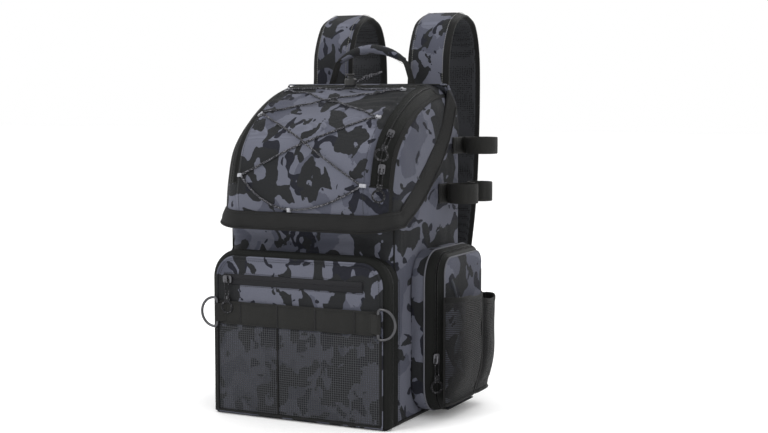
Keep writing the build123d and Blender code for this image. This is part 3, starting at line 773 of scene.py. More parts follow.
def main_zip():
    """Zip tape and coil along the body's upper edge."""
    for side, sign in SIDES:
        path = [(sign * (HALF - 1.2), y, z - 1.2) for y, z in spaced(ZIP_LINE, count=60)]
        ribbon("main_zip_tape_" + side, path, (0, 0.62, -0.78), 7, 1.2, TAPE, "bag")
        coil = [(sign * (HALF + 0.2), y, z + 1.2) for _, y, z in path]
        rungs("bag", coil, (0, -0.66, 0.75), 1.6, 3.0, 0.55)


# ---- tray door ----
def arch_path(count, inset=0.0, low=3.0):
    """Door outline from the right foot over the top to the left foot, as (x, z) with outward directions."""
    reach = HALF - inset
    radius = DOOR_CORNER - inset
    centre_x, centre_z = HALF - DOOR_CORNER, DOOR_TOP - DOOR_CORNER
    right = [(reach, low)] + [(centre_x + radius * math.cos(a), centre_z + radius * math.sin(a))
                              for a in np.linspace(0, math.pi / 2, 24)]
    path = spaced(np.array(right + [(-x, z) for x, z in right[::-1]]), count=count)
    way = unit(np.gradient(path, axis=0))
    return path, np.stack([way[:, 1], -way[:, 0]], 1)


def arch_row(v, low=2.0, inset=0.0):
    """Half width and height of one row of the door panel."""
    split = 0.74
    base = DOOR_TOP - DOOR_CORNER
    if v < split:
        return HALF - inset, low + (base - low) * v / split
    angle = (v - split) / (1 - split) * math.pi / 2
    radius = DOOR_CORNER - inset
    return HALF - DOOR_CORNER + radius * math.cos(angle), base + radius * math.sin(angle)


def door_lift(x, z):
    """How far the door's face stands out from its flat outline."""
    across = max(0.0, 1 - (x / HALF) ** 4)
    up = max(0.0, 1 - ((z - DOOR_TOP * 0.48) / (DOOR_TOP * 0.52)) ** 4)
    return across * up * (2.2 + rumple((x, 0, z), 30, 11, (1.4, 1, 1)) * 0.8)


def door_face():
    def surface(u, v):
        half, z = arch_row(v, inset=DOOR_ROUND - 0.4)
        x = (2 * u - 1) * half
        return x, FRONT - door_lift(x, z), z
    sheet("door_face", surface, (110, 90), 2.6, [CAMO_DOOR, LINING], "door", ("door_panel",))
    path, _ = arch_path(220, DOOR_ROUND)
    edge = [(x, FRONT - 0.4, z) for x, z in path]
    tube("door_piping", edge, 1.7, PIPING_CAMO, "door", sides=12)
    inner, _ = arch_path(220, DOOR_ROUND + 5)
    stitch("door", [(x, FRONT - door_lift(x, z) - 0.2, z) for x, z in inner])


def arch_band(name, y0, y1, bulge, turn, body, stands_for):
    """Gusset round the door's outline; turn rounds its front edge over towards the face."""
    path, out = arch_path(260)

    def surface(u, v):
        i = int(round(u * 259))
        run = v * (y1 - y0 + turn * 0.57)
        angle = min(math.pi / 2, run / turn) if turn else math.pi / 2
        y = y0 + turn * (1 - math.cos(angle)) + max(0.0, run - turn * math.pi / 2)
        lift = bulge * math.sin(math.pi * v) - turn * (1 - math.sin(angle))
        return path[i, 0] + out[i, 0] * lift, y, path[i, 1] + out[i, 1] * lift
    sheet(name, surface, (260, 16), 2.4, [TAPE, LINING], body, stands_for)


def door_gusset():
    arch_band("door_rim_band", FRONT, RIM_BACK, 5.5, DOOR_ROUND, "door", ("door_rim",))
    arch_band("door_track_band", RIM_BACK + 1, TRACK_BACK + 0.5, 2.6, 0.0, "bag", ("door_zip_track",))
    path, out = arch_path(200)
    middle = RIM_BACK + 0.6
    for body, shift in (("door", -1.0), ("bag", 1.2)):
        row = np.array([(x + a * 0.4, middle + shift, z + b * 0.4) for (x, z), (a, b) in zip(path, out)])
        rungs(body, row, (0, 1, 0), 1.7, 2.2, 0.6)
    for y, body in ((FRONT + 10, "door"), (RIM_BACK - 5, "door"), (TRACK_BACK - 5, "bag")):
        stitch(body, [(x + a * 2.6, y, z + b * 2.6) for (x, z), (a, b) in zip(path, out)])


def door_net():
    low, high = box("door_mesh_pocket")
    low.x += 1
    high.x -= 1
    seam = -32.0

    def surface(u, v):
        x = low.x + (high.x - low.x) * u
        z = low.z + (high.z - low.z) * v
        loose = 0.9 + 0.7 * math.sin(math.pi * u) ** 0.7 * math.sin(math.pi * v) ** 0.7
        loose *= 0.45 + 0.55 * ease(abs(x - seam) / 18)
        return x, FRONT - door_lift(x, z) - loose, z
    net("door_net", surface, (high.x - low.x, high.z - low.z), (3.6, 3.4), 0.14, 0.4, NET_PAINTED_SHEEN, "door",
        ("door_mesh_pocket",))
    middle = [(seam, FRONT - door_lift(seam, z) - 1.9, z) for z in np.linspace(low.z, high.z, 40)]
    ribbon("net_seam", middle, (1, 0, 0), 2.4, 1.0, BINDING, "door")
    edge = [(low.x, high.z), (low.x, low.z), (high.x, low.z), (high.x, high.z)]
    rim = [(x, FRONT - door_lift(x, z) - 1.6, z) for x, z in spaced(np.array(edge), step=4)]
    tube("net_binding", rim, 1.9, BINDING, "door")


TACK_PITCH = 64.0


def webbing_row():
    low, high = box("molle_webbing")
    ring_y = joint_spot("d_ring_right_hinge").y
    ring_x = joint_spot("d_ring_right_hinge").x
    middle = (low.z + high.z) / 2
    tacks = [(i - 1.5) * TACK_PITCH for i in range(4)]
    path = []
    ends = [low.x + 8, high.x - 8]
    for x in np.linspace(ends[0], ends[1], 150):
        gap = min(abs(x - t) for t in tacks + ends)
        path.append((x, FRONT - door_lift(x, middle) - 1.6 - 1.6 * ease(gap / 16), middle))
    ribbon("webbing_row", path, (0, 0, 1), high.z - low.z, 1.6, WEBBING, "door",
           ("molle_webbing",))
    for x in tacks + [low.x + 11, high.x - 11]:
        y = FRONT - door_lift(x, middle) - 2.9
        rungs("door", [(x, y, z) for z in np.linspace(low.z + 1.5, high.z - 1.5, 20)], (1, 0, 0), 0.8, 2.6,
              0.4, THREADS)
    for z in (low.z + 2.5, high.z - 2.5):
        stitch("door", [(x, y - 1.1, z) for x, y, _ in path])
    for side, sign in SIDES:
        loop = [(math.cos(a) * 3.2, math.sin(a) * 3.2) for a in np.linspace(-1.9, 1.9, 16)]
        tab = [(sign * (ring_x + dx * 1.0), ring_y - dy, middle) for dx, dy in loop]
        sewn_x = sign * (ring_x - 15)
        tab = [(sewn_x, FRONT - 4.6, middle)] + tab + [(sewn_x, FRONT - 3.4, middle)]
        ribbon("ring_tab_" + side, spaced(np.array(tab), step=1.2), (0, 0, 1), 28, 1.3, WEBBING, "door")


def front_zip():
    """Coated zip: two lips that meet at the slit, in a stitched window."""
    low, high = box("door_pocket_zip")
    slit = (low.z + high.z) / 2
    for name, edge, sign in (("upper", high.z, 1), ("lower", low.z, -1)):
        def surface(u, v):
            x = low.x + (high.x - low.x) * u
            z = edge + (slit + sign * 0.08 - edge) * v
            return x, FRONT - door_lift(x, z) - 0.5 - 0.9 * math.sin(v * math.pi / 2), z
        sheet("front_zip_" + name, surface, (90, 10), 0.9, [COATED], "door",
              ("door_pocket_zip",))
    frame_line = [(low.x - 1.5, high.z + 1.5), (high.x + 1.5, high.z + 1.5), (high.x + 1.5, low.z - 1.5),
                  (low.x - 1.5, low.z - 1.5), (low.x - 1.5, high.z + 1.5)]
    stitch("door", [(x, FRONT - door_lift(x, z) - 0.2, z) for x, z in spaced(np.array(frame_line), step=3)])


# ---- lid ----
def panel_relief(x, share):
    """Padded lid pocket: crowned, with slanting folds where the cord gathers it near the top."""
    low, high = lid_share_z(PANEL_LOW), lid_share_y(PANEL_REAR)
    v = (share - low) / (high - low)
    edge = ease((PANEL_HALF + 3 - abs(x)) / 8) * ease(min(v, 1 - v) / 0.05)
    top = ease((v - 0.58) / 0.25)
    place = (x + 120 * v, 0, v * 260 - abs(x) * 0.10)
    folds = rumple(place, 17, 21, (3.4, 1, 0.62)) * 2.6 * top
    corner = math.exp(-(((abs(x) - 96) / 26) ** 2) - (((v - 0.62) / 0.14) ** 2))
    folds += rumple((x, 0, v * 240), 12, 23, (1.6, 1, 0.8)) * 2.2 * corner
    calm = rumple((x, 0, v * 260), 46, 22) * 1.1
    fill = 4.2 * ease(min(v, 1 - v) / 0.12) * (1 - top)
    return edge * (1.4 + fill + calm + folds)


def lid_point(x, share, lift=0.0):
    return on_lid(x, share, panel_relief(x, share) + lift)


def lid_panel():
    low, high = lid_share_z(PANEL_LOW), lid_share_y(PANEL_REAR)

    def surface(u, v):
        return lid_point((2 * u - 1) * (PANEL_HALF + 2.5), low + (high - low) * v)
    sheet("lid_pocket_face", surface, (130, 120), 2.6, [CAMO_LID, LINING], "lid_pocket",
          ("lid_pocket_panel",))
    edge = [(-PANEL_HALF + 5, low + 0.01), (-PANEL_HALF + 5, high - 0.016), (PANEL_HALF - 5, high - 0.016),
            (PANEL_HALF - 5, low + 0.01)]
    corners = np.array([(x, s * 300) for x, s in edge])
    stitch("lid_pocket", [lid_point(x, s / 300, 0.2) for x, s in spaced(corners, step=3)])


ZIP_END = 350.0           # foot of the lid pocket's zip


def zip_profile(t):
    """Height of a zip band across its width: two tapes with rolled lips and the groove between."""
    return 1.1 * math.exp(-((abs(t - 0.45) - 0.12) / 0.09) ** 2) - 0.4 * math.exp(-((t - 0.45) / 0.05) ** 2)


def lid_band():
    """Black zip gusset round the pocket panel: two uprights and a top crossing, with canvas below them."""
    foot = lid_share_z(PANEL_LOW)
    low = lid_share_z(ZIP_END)
    rear = lid_share_y(BAND_REAR)
    top = lid_share_y(PANEL_REAR + 1)
    inner = PANEL_HALF + 0.8
    for side, sign in SIDES:
        def upright(u, v):
            x = inner + (BAND_HALF - inner) * v
            return on_lid(sign * x, low + (rear - low) * u, zip_profile(v))

        def under_zip(u, v):
            x = inner + (BAND_HALF - inner) * v
            return on_lid(sign * x, foot + (low - foot) * u, 0.6)
        sheet("lid_zip_band_" + side, upright, (110, 22), 2.4, [TAPE, LINING], "lid",
              ("lid_pocket_zip",))
        sheet("lid_corner_" + side, under_zip, (40, 22), 2.4, [CAMO_LID, LINING], "lid",
              ("lid_pocket_zip",))
        end = [on_lid(sign * (inner + (BAND_HALF - inner) * t), low, 0.8) for t in np.linspace(0, 1, 20)]
        tube("lid_zip_end_" + side, end, 1.1, BINDING, "lid")
        coil = [on_lid(sign * (inner + (BAND_HALF - inner) * 0.45), s, 0.5)
                for s in np.linspace(low, rear, 160)]
        rungs("lid", coil, (1, 0, 0), 1.7, 2.6, 0.6)
        for x in (inner + 1.6, BAND_HALF - 1.8):
            stitch("lid", [on_lid(sign * x, s, 0.3) for s in np.linspace(low, rear, 160)])
        edge = [on_lid(sign * (BAND_HALF + 0.6), s, 0.2) for s in np.linspace(foot, rear, 120)]
        tube("lid_band_piping_" + side, edge, 1.0, PIPING, "lid")

    def crossing(u, v):
        return on_lid((2 * u - 1) * inner, top + (rear - top) * v, zip_profile(v))
    sheet("lid_zip_band_top", crossing, (110, 22), 2.4, [TAPE, LINING], "lid",
          ("lid_pocket_zip",))
    middle = top + (rear - top) * 0.45
    coil = [on_lid(x, middle, 0.5) for x in np.linspace(-inner, inner, 120)]
    rungs("lid", coil, (0, 1, 0.2), 1.7, 2.6, 0.6)
    edge = [on_lid(x, rear + 0.004, 0.0) for x in np.linspace(3 - BAND_HALF, BAND_HALF - 3, 120)]
    tube("lid_band_piping_top", edge, 0.9, BINDING, "lid")


def gusset_depth(share):
    """Distance inwards from the lid's curve to the main zip."""
    spot, out = lid_frame(share)
    for depth in np.arange(2.0, 150.0, 1.0):
        y, z = spot - out * depth
        if y > ZIP_LINE[0, 0] and z < zip_height(y) + 4:
            return depth
    return 150.0


def lid_sides():
    start = BAND_HALF + 1.0 - (HALF - LID_RADIUS)
    first = LID_RADIUS - math.sqrt(LID_RADIUS ** 2 - start ** 2)
    shares = np.linspace(0, 1, 90)
    depths = np.maximum(np.array([gusset_depth(s) for s in shares]), first + 1.5)

    def relief(u, v, p):
        edge = ease(min(u, 1 - u) / 0.06) * ease(min(v, 1 - v) / 0.1)
        return edge * (rumple(p, 30, 31) * 1.4 + 0.8)
    for side, sign in SIDES:
        def surface(u, v):
            spot, out = lid_frame(u)
            depth = first + (float(np.interp(u, shares, depths)) - first) * v
            inner = max(0.0, LID_RADIUS - depth)
            x = HALF - LID_RADIUS + math.sqrt(LID_RADIUS ** 2 - inner ** 2)
            y, z = spot - out * depth
            return sign * x, y, z
        sheet("lid_gusset_" + side, surface, (90, 60), 2.4, [CAMO_GUSSET, LINING], "lid",
              ("lid_outer_panels",), relief)
    rear = lid_share_y(BAND_REAR + 0.8)

    def strip(u, v):
        return on_lid((2 * u - 1) * (BAND_HALF + 0.8), rear + (1 - rear) * v, 0.3)
    sheet("lid_rear_strip", strip, (90, 14), 2.4, [CAMO_GUSSET, LINING], "lid",
          ("lid_outer_panels",))
    foot = lid_share_z(PANEL_LOW - 0.4)

    def skirt(u, v):
        return on_lid((2 * u - 1) * (BAND_HALF + 0.8), foot * v, -0.2)
    sheet("lid_front_skirt", skirt, (90, 6), 2.4, [CAMO_GUSSET, LINING], "lid",
          ("lid_outer_panels",))


def lid_lining():
    def surface(u, v):
        return on_lid((2 * u - 1) * (HALF - 8), v, -5.5)
    sheet("lid_lining", surface, (70, 70), 2.0, [BLACK, LINING], "lid", ("lid_shell_panel",))


def lid_hinge_cloth():
    """Strip of canvas that lies along the hinge line between the yoke and the lid."""
    def surface(u, v):
        x = (2 * u - 1) * (HALF - 5)
        y = HINGE.y - 5 + 12 * v
        return x, y, HINGE.z + 0.2 - 1.8 * abs(v - 0.45)
    obj = sheet("lid_hinge_cloth", surface, (60, 13), 1.6, [CAMO_GUSSET, LINING], None)
    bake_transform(obj)


def flap_edges():
    """Upper (sewn) and lower (free) edges of the right half of the rain flap, from the middle."""
    reach = 9.0
    turn_x, turn_y = HALF - LID_RADIUS, LID_SPOTS[0][0] + LID_RADIUS
    upper, lower = [], []
    for x in np.linspace(0, turn_x, 30)[:-1]:
        upper.append((x, turn_y - LID_RADIUS - 0.8, 309.0))
        lower.append((x, turn_y - LID_RADIUS - reach + 1.0, 284.0))
    for a in np.linspace(0, math.pi / 2, 24):
        climb = ease(a / (math.pi / 2)) * 6
        upper.append((turn_x + (LID_RADIUS + 0.8) * math.sin(a), turn_y - (LID_RADIUS + 0.8) * math.cos(a),
                      309 + climb * 0.9))
        lower.append((turn_x + (LID_RADIUS + reach - 1) * math.sin(a),
                      turn_y - (LID_RADIUS + reach - 1) * math.cos(a),
                      284 + climb * 1.2))
    for share in np.linspace(0.06, 1, 60)[1:]:
        i = int(share * (len(ZIP_LINE) - 1))
        y, z = ZIP_LINE[i]
        upper.append((HALF + 0.8, y, z + 11))
        lower.append((HALF + reach - 1.5, y + 12 * ease(share * 3), z - 14.4 * ease(0.75 + share)))
    return spaced(np.array(upper), count=140), spaced(np.array(lower), count=140)


def lid_flap():
    """Rain flap over the main zip, sewn along its top and flaring out over the body."""
    upper, lower = flap_edges()
    upper = np.vstack([mirror_x(upper)[::-1], upper[1:]])
    lower = np.vstack([mirror_x(lower)[::-1], lower[1:]])
    count = len(upper)
    out = unit(np.stack([lower[:, 0] - upper[:, 0], lower[:, 1] - upper[:, 1] - 0.001, 0 * upper[:, 0]], 1))

    def surface(u, v):
        i = int(round(u * (count - 1)))
        spot = upper[i] + (lower[i] - upper[i]) * v
        return tuple(spot + out[i] * (2.2 * math.sin(math.pi * v * 0.9) + 0.5))

    def relief(u, v, p):
        return rumple(p, 28, 41) * 0.7
    sheet("lid_flap", surface, (count, 14), 2.2, [BLACK, BLACK], "lid", ("lid_zip_flap",),
          relief)
    for share in (0.12, 0.9):
        row = [np.array(surface(i / (count - 1), share)) + out[i] * 0.5 for i in range(count)]
        stitch("lid", row)
    edge = [np.array(surface(i / (count - 1), 1.0)) for i in range(count)]
    tube("flap_edge", edge, 1.5, BINDING, "lid")


# ---- elastic cord over the lid ----
def cord_stops():
    """Named turning points of the cord as (x, share) from the CAD loops."""
    spots = sorted(islands("bungee_loops"), key=lambda c: c[2])
    left = [c for c in spots if c[0] < -50]
    right = [c for c in spots if c[0] > 50]
    foot = [c for c in spots if abs(c[0]) <= 50]
    names = dict(zip(("L3", "L2", "L1"), left))
    names.update(zip(("R3", "R2", "R1"), right))
    names["B"] = foot[0]
    return {key: (x, lid_share_z(z)) for key, (x, _, z) in names.items()}


def cord_line(start, end, bow=0.0, over=0.0, count=60):
    """Cord laid over the panel between two stops; bow bends it down the panel, over lifts its middle."""
    path = []
    for t in np.linspace(0, 1, count):
        x = start[0] + (end[0] - start[0]) * t
        share = start[1] + (end[1] - start[1]) * t - bow * math.sin(math.pi * t) ** 0.8
        path.append(lid_point(x, share, 1.9 + over * math.exp(-((t - 0.5) / 0.16) ** 2)))
    return path


def cords():
    stops = cord_stops()
    lock_low, lock_high = box("cord_lock_body")
    lock = ((lock_low.x + lock_high.x) / 2, (lock_low.y + lock_high.y) / 2)
    runs = [cord_line(stops["L1"], stops["R2"]), cord_line(stops["R2"], stops["L3"]),
            cord_line(stops["R3"], stops["L2"], 0, 3.0), cord_line(stops["L2"], stops["R1"], 0, 3.0),
            cord_line(stops["L3"], stops["B"], 0.035), cord_line(stops["B"], stops["R3"], 0.03)]
    entry = lock_low.z + 4.5
    for stop in ("L1", "R1"):
        run = cord_line(stops[stop], (lock[0], lid_share_y(lock[1])), 0.0, 0.0, 40)[:-5]
        run += [(lock[0] + math.copysign(5, stops[stop][0]), lock[1], entry)]
        runs.append(run)
    heap = Heap()
    for run in runs:
        heap.rings(tube_rings(spaced(curve(run, 3), step=2.2), 1.5, 9))
    centre = np.array((lock[0], lock[1], entry))
    knot = centre + (17, 19, 9)
    way = unit(np.array((0.62, 0.66, 0.34)))
    beside = unit(np.cross(way, (0, 0, 1)))
    over = np.cross(beside, way)
    half = [centre + (5, 5, 1), centre + (11, 12, 6) + beside * 1.6, knot + beside * 1.6,
            knot + way * 13 + beside * 4.2, knot + way * 25 + beside * 2.6]
    back = [point - beside * 2 * float(np.dot(point - knot, beside)) for point in half[::-1]]
    heap.rings(tube_rings(spaced(curve(half + [knot + way * 28] + back, 12), step=1.6), 1.4, 9))
    turns = np.linspace(0, 5 * math.pi, 44)
    coil = [knot + way * (a * 0.42 - 3) + (beside * math.cos(a) + over * math.sin(a)) * 3.1 for a in turns]
    heap.rings(tube_rings(np.array(coil), 1.4, 8))
    loose = [coil[-1], coil[-1] + way * 5 + over * 1.5, coil[-1] + way * 12 - beside * 5 + over * 1.0]
    heap.rings(tube_rings(spaced(curve(loose, 8), step=1.6), 1.4, 8))
    heap.piece("cord", CORD, "lid_pocket", "elastic_cord", ("bungee_cord",))
    tabs = Heap()
    for name, (x, share) in stops.items():
        inwards = 0.0 if name == "B" else -math.copysign(1.0, x)
        reach = np.linspace(0, math.pi, 10)
        if name == "B":
            path = [lid_point(x, share - 0.012 + 0.004 * t, 0.6) for t in range(3)]
            path += [lid_point(x, share + 0.006 * math.sin(a / 2) ** 2, 1.9 - 2.2 * math.cos(a))
                     for a in reach]
            path += [lid_point(x, share - 0.012 + 0.004 * t, 4.2) for t in range(2, -1, -1)]
            across = (1, 0, 0)
        else:
            path = [lid_point(x - inwards * (6 - 2 * t), share, 0.6) for t in range(3)]
            path += [lid_point(x + inwards * 2.2 * math.sin(a), share, 2.3 - 2.2 * math.cos(a))
                     for a in reach]
            path += [lid_point(x - inwards * (6 - 2 * t), share, 2.6) for t in range(2, -1, -1)]
            _, out = lid_frame(share)
            across = (0, -out[1], out[0])
        tabs.ribbon(spaced(np.array(path), step=1.0), across, 5.2, 0.8)
    tabs.piece("cord_tabs", TAB, "lid_pocket", "elastic_cord", ("bungee_loops",))


# ---- side pockets ----
POCKET_LOW, POCKET_HIGH = box("pocket_shell_right")
POCKET_FACE = box("pocket_panel_right")[1].x
POCKET_SPLIT = box("pocket_panel_right")[0].x - 0.5
REAR_TURN = 32.0
FRONT_TURN = 46.0


def pocket_loop(count=160):
    """Rounded outline of the pocket seen from the side: (y, z) and outward (y, z) directions."""
    y0, y1, z0, z1 = POCKET_LOW.y, POCKET_HIGH.y, POCKET_LOW.z, POCKET_HIGH.z
    points = []
    corners = ((y1, z1, REAR_TURN, 0), (y0, z1, FRONT_TURN, 1), (y0, z0, FRONT_TURN, 2),
               (y1, z0, REAR_TURN, 3))
    for y, z, radius, start in corners:
        cy = y + math.copysign(radius, y0 + y1 - 2 * y)
        cz = z + math.copysign(radius, z0 + z1 - 2 * z)
        for a in np.linspace(start * math.pi / 2, (start + 1) * math.pi / 2, 16):
            points.append((cy + radius * math.cos(a), cz + radius * math.sin(a)))
    points.append(points[0])
    loop = spaced(np.array(points), count=count + 1)[:-1]
    way = unit(np.roll(loop, -1, 0) - np.roll(loop, 1, 0))
    return loop, np.stack([way[:, 1], -way[:, 0]], 1)


LOOP, LOOP_OUT = pocket_loop()


def pocket_point(i, x):
    """Point of the pocket's rounded rim at loop place i and distance x from the middle of the bag."""
    out = LOOP_OUT[i]
    radius = 25 + 19 * max(0.0, -out[0]) ** 2
    over = max(0.0, x - (POCKET_FACE - radius))
    inset = radius - math.sqrt(max(0.0, radius ** 2 - over ** 2))
    return x, LOOP[i, 0] - out[0] * inset, LOOP[i, 1] - out[1] * inset


def pocket_relief(u, v, p):
    return rumple(p, 30, 51, (1, 1, 1.6)) * 1.3 * ease(min(v, 1 - v) / 0.2)


def pocket_ring(name, x0, x1, counts, sign, finishes, body, stands_for, relief=None):
    def surface(u, v):
        i = int(round(u * len(LOOP))) % len(LOOP)
        x, y, z = pocket_point(i, x0 + (x1 - x0) * v)
        return sign * x, y, z
    sheet(name, surface, (len(LOOP), counts), 2.2, finishes, body, stands_for, relief, True)


def side_pockets():
    band_low, band_high = POCKET_SPLIT - 15, POCKET_FACE - 4.5
    centre = LOOP.mean(0)
    for side, sign in SIDES:
        shell, panel = "pocket_shell_" + side, "pocket_panel_" + side
        body = "pocket_" + side
        pocket_ring("pocket_gusset_" + side, HALF + 0.4, band_low, 12, sign, [CAMO_POCKET, LINING], "bag",
                    (shell,), pocket_relief)
        pocket_ring("pocket_tape_fixed_" + side, band_low + 0.3, POCKET_SPLIT - 0.5, 8, sign,
                    [TAPE, LINING], "bag",
                    (shell,))
        pocket_ring("pocket_tape_moving_" + side, POCKET_SPLIT + 0.5, band_high, 8, sign, [TAPE, LINING],
                    body,
                    (panel,))

        def face(u, v):
            i = int(round(u * len(LOOP))) % len(LOOP)
            split = 0.28
            if v < split:
                x = band_high + 0.3 + (POCKET_FACE - band_high - 0.3) * math.sin(v / split * math.pi / 2)
                x, y, z = pocket_point(i, x)
                return sign * x, y, z
            share = (v - split) / (1 - split)
            x, y, z = pocket_point(i, POCKET_FACE)
            keep = 1 - share * 0.985
            return sign * POCKET_FACE, centre[0] + (y - centre[0]) * keep, centre[1] + (z - centre[1]) * keep
        sheet("pocket_face_" + side, face, (len(LOOP), 40), 2.4, [CAMO_POCKET, LINING], body,
              (panel,), None, True)
        for x, owner in ((band_low, "bag"), (band_high, body)):
            edge = [pocket_point(i, x) for i in range(len(LOOP))]
            edge = [(sign * (a + 0.2), b + LOOP_OUT[i, 0] * 0.5, c + LOOP_OUT[i, 1] * 0.5)
                    for i, (a, b, c) in enumerate(edge)]
            tube("pocket_piping_%s_%s" % ("rear" if owner == "bag" else "front", side), edge, 1.2, PIPING,
                 owner,
                 closed=True)
        for x, owner in ((POCKET_SPLIT - 0.9, "bag"), (POCKET_SPLIT + 1.1, body)):
            row = [pocket_point(i, x) for i in list(range(len(LOOP))) + [0]]
            row = [(sign * a, b + LOOP_OUT[i % len(LOOP), 0] * 0.3, c + LOOP_OUT[i % len(LOOP), 1] * 0.3)
                   for i, (a, b, c) in enumerate(row)]
            rungs(owner, row, (1, 0, 0), 1.7, 2.0, 0.55)


TUBE_FACE = box("rod_mesh_right")[1].x
TUBE_LOW = box("rod_mesh_right")[0].z
TUBE_FRONT = box("rod_mesh_right")[0].y
TUBE_REAR = box("rod_mesh_right")[1].y
TUBE_SEAM = 61.5          # seam between the two tubes
TUBE_TOPS = (184.0, 172.0)


def tube_plan(depth):
    """Plan of both rod tubes seen from above: out from the pocket, in at their seam, and back, as (x, y)."""
    plan = []
    for a in np.linspace(0, math.pi, 90):
        share = (1 - math.cos(a)) / 2
        y = TUBE_FRONT + (TUBE_REAR - TUBE_FRONT) * share
        swell = (1 - abs(2 * share - 1) ** 7) ** 0.5
        waist = 1 - 0.2 * math.exp(-((y - TUBE_SEAM) / 8) ** 2)
        plan.append((POCKET_FACE + 0.8 + depth * swell * waist, y))
    return spaced(np.array(plan), count=161)


def tube_top(y):
    return TUBE_TOPS[0] + (TUBE_TOPS[1] - TUBE_TOPS[0]) * ease((y - TUBE_SEAM + 4) / 8)


def rod_tubes():
    full = TUBE_FACE - POCKET_FACE - 1.4
    near = POCKET_FACE + 0.8
    plans = [tube_plan(full * (0.35 + 0.65 * ease(share / 0.4) ** 0.7)) for share in np.linspace(0, 1, 61)]
    for side, sign in SIDES:
        body = "pocket_" + side

        def surface(u, v):
            x, y = plans[int(round(v * 60))][int(round(u * 160))]
            z = TUBE_LOW + (tube_top(y) - TUBE_LOW) * v
            sag = math.sin(math.pi * min(1.0, abs(y - TUBE_SEAM) / 60)) * 4 * v ** 6
            x -= 1.6 * math.sin(math.pi * u) * math.sin(math.pi * v) * rumple((x, y, z), 34, 61)
            return sign * x, y, z - sag

        def between(u, v):
            row = plans[int(round(v * 60))]
            x = float(np.interp(TUBE_SEAM, row[:, 1], row[:, 0]))
            return sign * (near + (x - near) * u), TUBE_SEAM, TUBE_LOW + (TUBE_TOPS[1] - TUBE_LOW) * v

        def floor(u, v):
            x, y, z = surface(u, 0.0)
            return sign * near + (x - sign * near) * v, y, z - 1.5 * math.sin(math.pi * v)

        def rear_wall(u, v):
            x, y, z = surface(0.84 + 0.16 * min(1.0, u / 0.8), v)
            return x - sign * (1.2 + 18 * max(0.0, u - 0.8) / 0.2), y - 0.8, z
        rows = 56
        net("rod_net_" + side, surface, (160 * 1.5 * 1.4, rows * 3.0), (2.1, 3.0), 0.16, 0.4, MESH, body,
            ("rod_mesh_" + side,))
        net("rod_net_middle_" + side, between, (20, 148), (3.2, 3.2), 0.16, 0.4, MESH, body)
        sheet("rod_rear_" + side, rear_wall, (26, 30), 0.8, [BLACK], body)
        sheet("rod_floor_" + side, floor, (161, 8), 1.2, [BLACK], body)
        mouth = np.array([surface(i / 160, 1.0) for i in range(161)])
        ribbon("rod_mouth_" + side, mouth - (0, 0, 3.5), (0, 0, 1), 8, 2.2, BINDING, body)
        foot = np.array([surface(i / 160, 0.0) for i in range(161)])
        tube("rod_foot_" + side, foot, 2.2, BINDING, body)
        seam = [(sign * (abs(between(1, v)[0]) + 0.5), TUBE_SEAM, between(1, v)[2])
                for v in np.linspace(0, 1, 61)]
        ribbon("rod_seam_" + side, seam, (0, 1, 0), 6, 1.4, BINDING, body)
        for name, y in (("front", TUBE_FRONT), ("rear", TUBE_REAR)):
            edge = [(sign * (POCKET_FACE + 1.4), y, z) for z in np.linspace(TUBE_LOW, tube_top(y), 30)]
            ribbon("rod_edge_%s_%s" % (name, side), edge, (0, 1, 0), 7, 1.8, BINDING, body)


def rod_straps():
    """Webbing loops that hold the rods, with hook-and-loop tails sewn to the side panel."""
    low_band, high_band = box("rod_strap_lower_right"), box("rod_strap_upper_right")
    plans = {"lower": (low_band, 50.0, [(173.0, 78.0, 20.0), (176.0, 137.0, 17.0)]),
             "upper": (high_band, 104.0, [(177.0, 141.0, 22.5)])}
    thick = 2.0
    for side, sign in SIDES:
        for name, ((low, high), root, rings) in plans.items():
            body = "rod_strap_%s_%s" % (name, side)
            middle = (low.z + high.z) / 2
            width = high.z - low.z
            heap = Heap()
            x0 = HALF + 1.6
            first = rings[0]
            tail = [(x0, root), (x0, root + 8), (x0, first[1] - 10), (x0 + 0.8, first[1] + 1),
                    (first[0] - first[2] - thick * 0.5, first[1] + 3)]
            paths = [spaced(curve(tail, 10), step=2.5)]
            for cx, cy, radius in rings:
                turns = np.linspace(math.pi, 3 * math.pi + 0.5, 60)
                swell = radius + thick * 0.6
                paths.append(np.array([(cx + (swell + 0.25 * (a - math.pi)) * math.cos(a),
                                        cy + (swell + 0.25 * (a - math.pi)) * math.sin(a)) for a in turns]))
            if len(rings) > 1:
                second = rings[1]
                paths.append(spaced(curve([(first[0], first[1] + first[2] + 1),
                                           (first[0] + 1, first[1] + first[2] + 4),
                                           (second[0], second[1] - second[2] - 1)], 6), step=1.5))
            for path in paths:
                heap.ribbon([(sign * x, y, middle) for x, y in path], (0, 0, 1), width, thick)
            heap.piece("rod_loop_%s_%s" % (name, side), WEBBING, body, "black_webbing", (body,))
            for y in (root + 3, root + 12):
                rungs(body, [(sign * (x0 + 1.3), y, z) for z in (low.z + 2, high.z - 2)], (0, 1, 0), 0.9,
                      2.4, 0.4, THREADS)


# ---- carrying ----
STRAP_PATH = [(132, 466), (139, 500), (143, 548), (164, 590), (195, 606.5), (207, 608), (222, 606),
              (250, 590), (267, 540),
              (268, 440), (258, 320), (236, 230), (215, 176)]
STRAP_LOW, STRAP_HIGH = box("shoulder_pad_right")


def strap_section(count=40):
    """Flat padded section with thin bound edges: (across, outward) shares and a finish for each place."""
    half = (STRAP_HIGH.x - STRAP_LOW.x) / 2
    turns = np.arange(count) / count * 2 * math.pi
    section = []
    marks = []
    for a in turns:
        c, s = math.cos(a), math.sin(a)
        x = half * math.copysign(abs(c) ** 0.55, c)
        body = 1 - ease((abs(x) - half + 11) / 8) * 0.45
        y = 6.0 * math.copysign(abs(s) ** 0.45, s) * body
        section.append((x, y))
        marks.append(1 if abs(x) > half - 7.5 else (0 if y > 0 else 2))
    return section, marks


